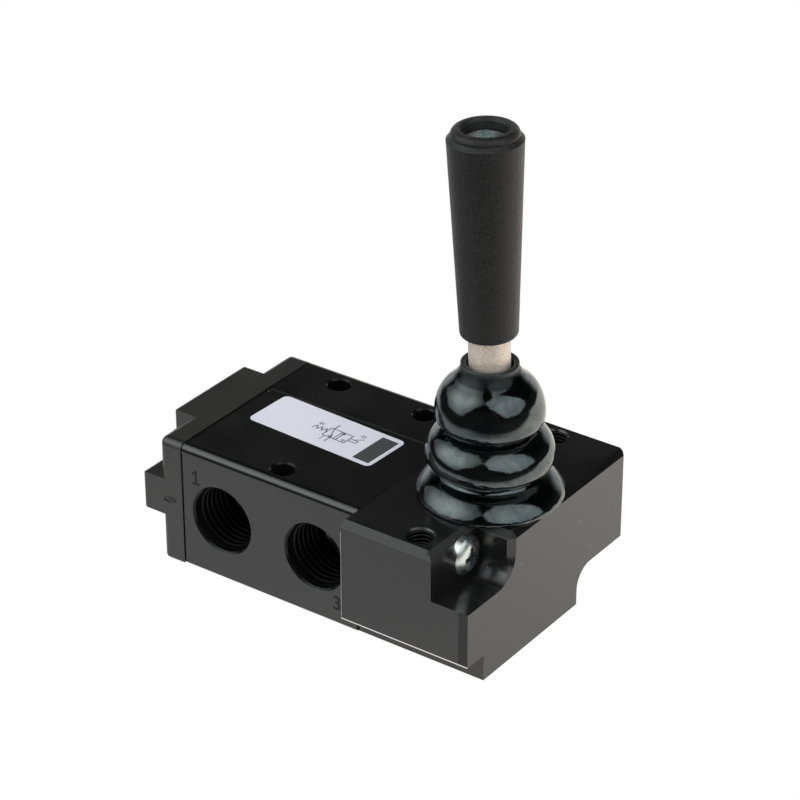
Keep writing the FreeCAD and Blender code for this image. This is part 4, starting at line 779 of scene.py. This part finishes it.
def bellows():
    """A geometry tree: a closed outline spun round Z, with its radius and height read along the outline."""
    tree, start, end = new_tree("bellows", {
        "Around": 144, "Along": 200, "Outline Size": 0.03, "Axis Shift": -0.0005, "Waviness": 0.0002,
        "Foot Fray": 0.0005, "Lip Fray": 0.001, "Shoulder Sag": 0.001, "Shoulder Rise": 0.001,
    })

    def bell(value, middle, width):
        """1 at the middle, falling smoothly to 0 within the width."""
        away = maths(tree, "ABSOLUTE", maths(tree, "SUBTRACT", value, middle))
        return node(tree, "ShaderNodeMapRange", {
            "From Max": width, "To Min": 1.0, "To Max": 0.0, "Value": away,
        }, interpolation_type="SMOOTHSTEP")

    net = node(tree, "GeometryNodeMeshGrid", {
        "Size X": 1, "Size Y": 1, "Vertices X": start.outputs["Around"], "Vertices Y": start.outputs["Along"],
    })
    spot = node(tree, "GeometryNodeInputPosition")
    parts = node(tree, "ShaderNodeSeparateXYZ", {0: spot})
    angle = maths(tree, "MULTIPLY", maths(tree, "ADD", parts.outputs[0], 0.5), 2 * math.pi)
    along = maths(tree, "ADD", parts.outputs[1], 0.5)
    readings = []
    for values in (outline_r, outline_z):
        curve = node(tree, "ShaderNodeFloatCurve", {"Value": along})
        line = curve.mapping.curves[0]
        while len(line.points) < len(values):
            line.points.new(0.5, 0.5)
        for point, (where, value) in zip(line.points, zip(outline_t, values)):
            point.location = (where, value / outline_size)
            point.handle_type = "AUTO"
        curve.mapping.update()
        readings.append(maths(tree, "MULTIPLY", curve, start.outputs["Outline Size"]))
    radius, height = readings
    cos, sin = maths(tree, "COSINE", angle), maths(tree, "SINE", angle)
    ring_spot = node(tree, "ShaderNodeCombineXYZ", {0: cos, 1: sin, 2: maths(tree, "MULTIPLY", height, 110.0)})
    wave = node(tree, "ShaderNodeTexNoise", {"Scale": 1.3, "Detail": 1.0, "Vector": ring_spot})
    uneven = maths(tree, "MULTIPLY", maths(tree, "SUBTRACT", wave, 0.5), start.outputs["Waviness"])
    frays = []
    for scale in (24.0, 6.0):
        fray = node(tree, "ShaderNodeTexNoise", {"Scale": scale, "Vector": ring_spot})
        frays.append(maths(tree, "SUBTRACT", fray, 0.5))
    foot = node(tree, "ShaderNodeMapRange", {"From Min": 0.0012, "From Max": 0.0004, "Value": height})
    creases = maths(tree, "MAXIMUM", bell(height, lower_crease, 0.0009), bell(height, upper_crease, 0.0011))
    torn_foot = maths(tree, "MULTIPLY", maths(tree, "MULTIPLY", frays[0], foot), start.outputs["Foot Fray"])
    torn_lips = maths(tree, "MULTIPLY", maths(tree, "MULTIPLY", frays[1], creases), start.outputs["Lip Fray"])
    radius = maths(tree, "ADD", maths(tree, "ADD", radius, uneven), maths(tree, "ADD", torn_foot, torn_lips))
    height = maths(tree, "ADD", height, maths(tree, "MULTIPLY", torn_lips, 0.6))
    bearing = maths(tree, "COSINE", maths(tree, "SUBTRACT", angle, math.radians(140)))
    left_side = maths(tree, "MULTIPLY_ADD", bearing, 0.5, 0.5)
    right_side = maths(tree, "SUBTRACT", 1.0, left_side)
    lean = maths(tree, "SUBTRACT", maths(tree, "MULTIPLY", left_side, start.outputs["Shoulder Sag"]),
                 maths(tree, "MULTIPLY", right_side, start.outputs["Shoulder Rise"]))
    height = maths(tree, "SUBTRACT", height, maths(tree, "MULTIPLY", bell(height, shoulder, 0.0036), lean))
    shift = maths(tree, "MULTIPLY", maths(tree, "DIVIDE", height, boot_height), start.outputs["Axis Shift"])
    new_spot = node(tree, "ShaderNodeCombineXYZ", {
        0: maths(tree, "MULTIPLY_ADD", radius, cos, shift), 1: maths(tree, "MULTIPLY", radius, sin), 2: height,
    })
    shaped = node(tree, "GeometryNodeSetPosition", {"Geometry": net.outputs["Mesh"], "Position": new_spot})
    closed = node(tree, "GeometryNodeMergeByDistance", {"Distance": 0.000005, "Geometry": shaped})
    smooth = node(tree, "GeometryNodeSetShadeSmooth", {"Geometry": closed})
    return laid_out(tree, start, end, smooth)


# The outline in millimetres, radius and height over the housing: up the outside, over the collar, down inside.
boot_outline = [
    (11.0, 0.02), (12.6, 0.02), (13.3, 0.04), (13.65, 0.3), (13.55, 0.8), (13.15, 1.5), (12.5, 2.3),
    (11.7, 3.0), (10.9, 3.5), (10.1, 3.85), (9.45, 4.25), (9.15, 4.75), (9.1, 5.2), (9.2, 5.5),
    (9.9, 5.7), (10.8, 6.1), (11.45, 6.75), (11.8, 7.6), (11.85, 8.5), (11.6, 9.8), (11.05, 11.0),
    (10.2, 12.0), (9.2, 12.7), (8.2, 13.1), (7.55, 13.3), (7.6, 13.5), (8.3, 13.7), (9.1, 14.2),
    (9.7, 14.95), (10.0, 15.8), (10.05, 16.6), (9.95, 18.0), (9.6, 19.4), (9.0, 20.8), (8.25, 21.95),
    (7.45, 22.75), (6.7, 23.35), (6.1, 23.95), (5.65, 24.6), (5.35, 25.1), (5.2, 25.5), (5.25, 25.9),
    (5.33, 26.12), (5.2, 26.3), (4.6, 26.3), (4.3, 26.2), (4.2, 25.6), (4.25, 24.6), (4.6, 23.6),
    (5.6, 22.7), (6.9, 21.5), (8.0, 19.6), (8.75, 17.6), (8.8, 16.2), (8.3, 15.3), (7.2, 14.6),
    (6.5, 13.6), (6.9, 12.7), (8.0, 12.0), (9.3, 10.9), (10.4, 9.3), (10.55, 7.9), (10.0, 7.1),
    (8.6, 6.5), (8.0, 5.5), (8.2, 4.2), (9.2, 2.8), (10.3, 1.8), (10.9, 0.9), (11.0, 0.02),
]
outline_size = 30.0
run = [0.0]
for (r0, z0), (r1, z1) in zip(boot_outline, boot_outline[1:]):
    run.append(run[-1] + math.hypot(r1 - r0, z1 - z0))
outline_t = [value / run[-1] for value in run]
outline_r = [point[0] for point in boot_outline]
outline_z = [point[1] for point in boot_outline]
boot_rubber = finish("boot_rubber", (0.0008, 0.0009, 0.0009), (0.0016, 0.0018, 0.0018), (0.04, 0.14), ior=2.1,
                     grain=(0.0005, 9e-6), cloud=0.0028, specks=(0.0016, 0.01), speck_colour=(0.2, 0.2, 0.2))
tree = boot_rubber.node_tree
# The lip is duller, the neck under it reflects less (painted shade under the lip), and smears tint the gloss of
# the rubber.
lip_place = node(tree, "ShaderNodeTexCoord")
lip_split = node(tree, "ShaderNodeSeparateXYZ", {0: lip_place.outputs["Object"]})
lip_mask = node(tree, "ShaderNodeMapRange", {
    "From Min": 0.0504, "From Max": 0.0512, "Value": lip_split.outputs["Z"],
})
lip_rough = node(tree, "ShaderNodeMix", {
    "Factor": lip_mask, 2: tree.nodes["last_roughness"].outputs[0], 3: 0.48,
}, data_type="FLOAT")
neck_shade = [node(tree, "ShaderNodeMapRange", {
    "From Min": low, "To Min": low_shine, "From Max": high, "To Max": high_shine,
    "Value": lip_split.outputs["Z"],
}) for low, low_shine, high, high_shine in ((0.0494, 0.5, 0.0499, 0.1), (0.0510, 0.1, 0.0518, 0.4))]
smears = node(tree, "ShaderNodeTexNoise", {
    "Scale": 210, "Detail": 5, "Roughness": 0.62, "Distortion": 1.2, "Vector": lip_place.outputs["Object"],
})
smear_mask = node(tree, "ShaderNodeMapRange", {
    "From Min": 0.36, "From Max": 0.62, "Value": smears.outputs["Fac"],
})
smear_tint = node(tree, "ShaderNodeMix", {
    "Factor": smear_mask, 6: (0.50, 0.63, 0.68, 1), 7: (0.92, 1.06, 1.02, 1),
}, data_type="RGBA")
feed(tree.nodes["Principled BSDF"], {
    "Roughness": lip_rough, "Specular IOR Level": largest(tree, neck_shade),
    "Specular Tint": smear_tint.outputs[2],
})
boot = grown("boot_rubber_bellows", bellows(), {
    "Around": 181, "Along": 260, "Outline Size": 0.03, "Axis Shift": -0.0005, "Waviness": 0.0002,
    "Foot Fray": 0.0006, "Lip Fray": 0.0014, "Shoulder Sag": 0.0004, "Shoulder Rise": 0.0005,
    "Place": Vector((0.0357, 0, 0.026)), "Material": boot_rubber,
}, body=None)
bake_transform(boot)
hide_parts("boot")

# ---------------------------------------------------------------- lever rod
# A turned steel rod, bead blasted and nickel plated, so it is a warm grey with a fine sparkle.
# Its eye turns with a brass bush on the pin in the carrier, and the knob is screwed down on its end.
rod_nickel = finish("rod_nickel", (0.42, 0.34, 0.27), (1.0, 0.91, 0.80), (0.42, 0.57), metallic=0.72,
                    grain=(0.0004, 1.2e-4), cloud=0.0003)
dress(rod_nickel, "lever_rod")

# ---------------------------------------------------------------- knob
# A long tapered knob, moulded in matt black plastic with a fine spark-eroded grain,
# pushed on the rod and held by a zinc plated screw in its top.
knob_plastic = finish("knob_plastic", (0.0003, 0.0003, 0.0003), (0.017, 0.017, 0.0166), (0.36, 0.54), ior=1.44,
                      grain=(0.00026, 9e-5), cloud=0.0005)
dress(knob_plastic, "knob")
knob_screw_zinc = finish("knob_screw_zinc", (0.62, 0.72, 0.69), (0.86, 0.96, 0.92), (0.38, 0.55), metallic=1.0,
                         grain=(0.0004, 1.2e-5), cloud=0.0012)
pivot_x, pivot_z, knob_lean, dome_height = 0.0362, 0.0224, math.radians(-2.1), 0.0003
head_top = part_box("knob_screw")[1][2]
head_middle = (pivot_x + (head_top - pivot_z) * math.tan(knob_lean), 0.0, head_top - dome_height)
grown("knob_screw_marks", MARKED, {
    "Inner Radius": 0.00125, "Mark Length": 0.0013, "Mark Width": 0.00018, "Mark Height": 0.00024,
    "Dome Drop": 0.26, "Place": Vector(head_middle), "Tilt": Vector((0, knob_lean, math.radians(20))),
    "Material": knob_screw_zinc,
}, body="lever")
dress(knob_screw_zinc, "knob_screw")
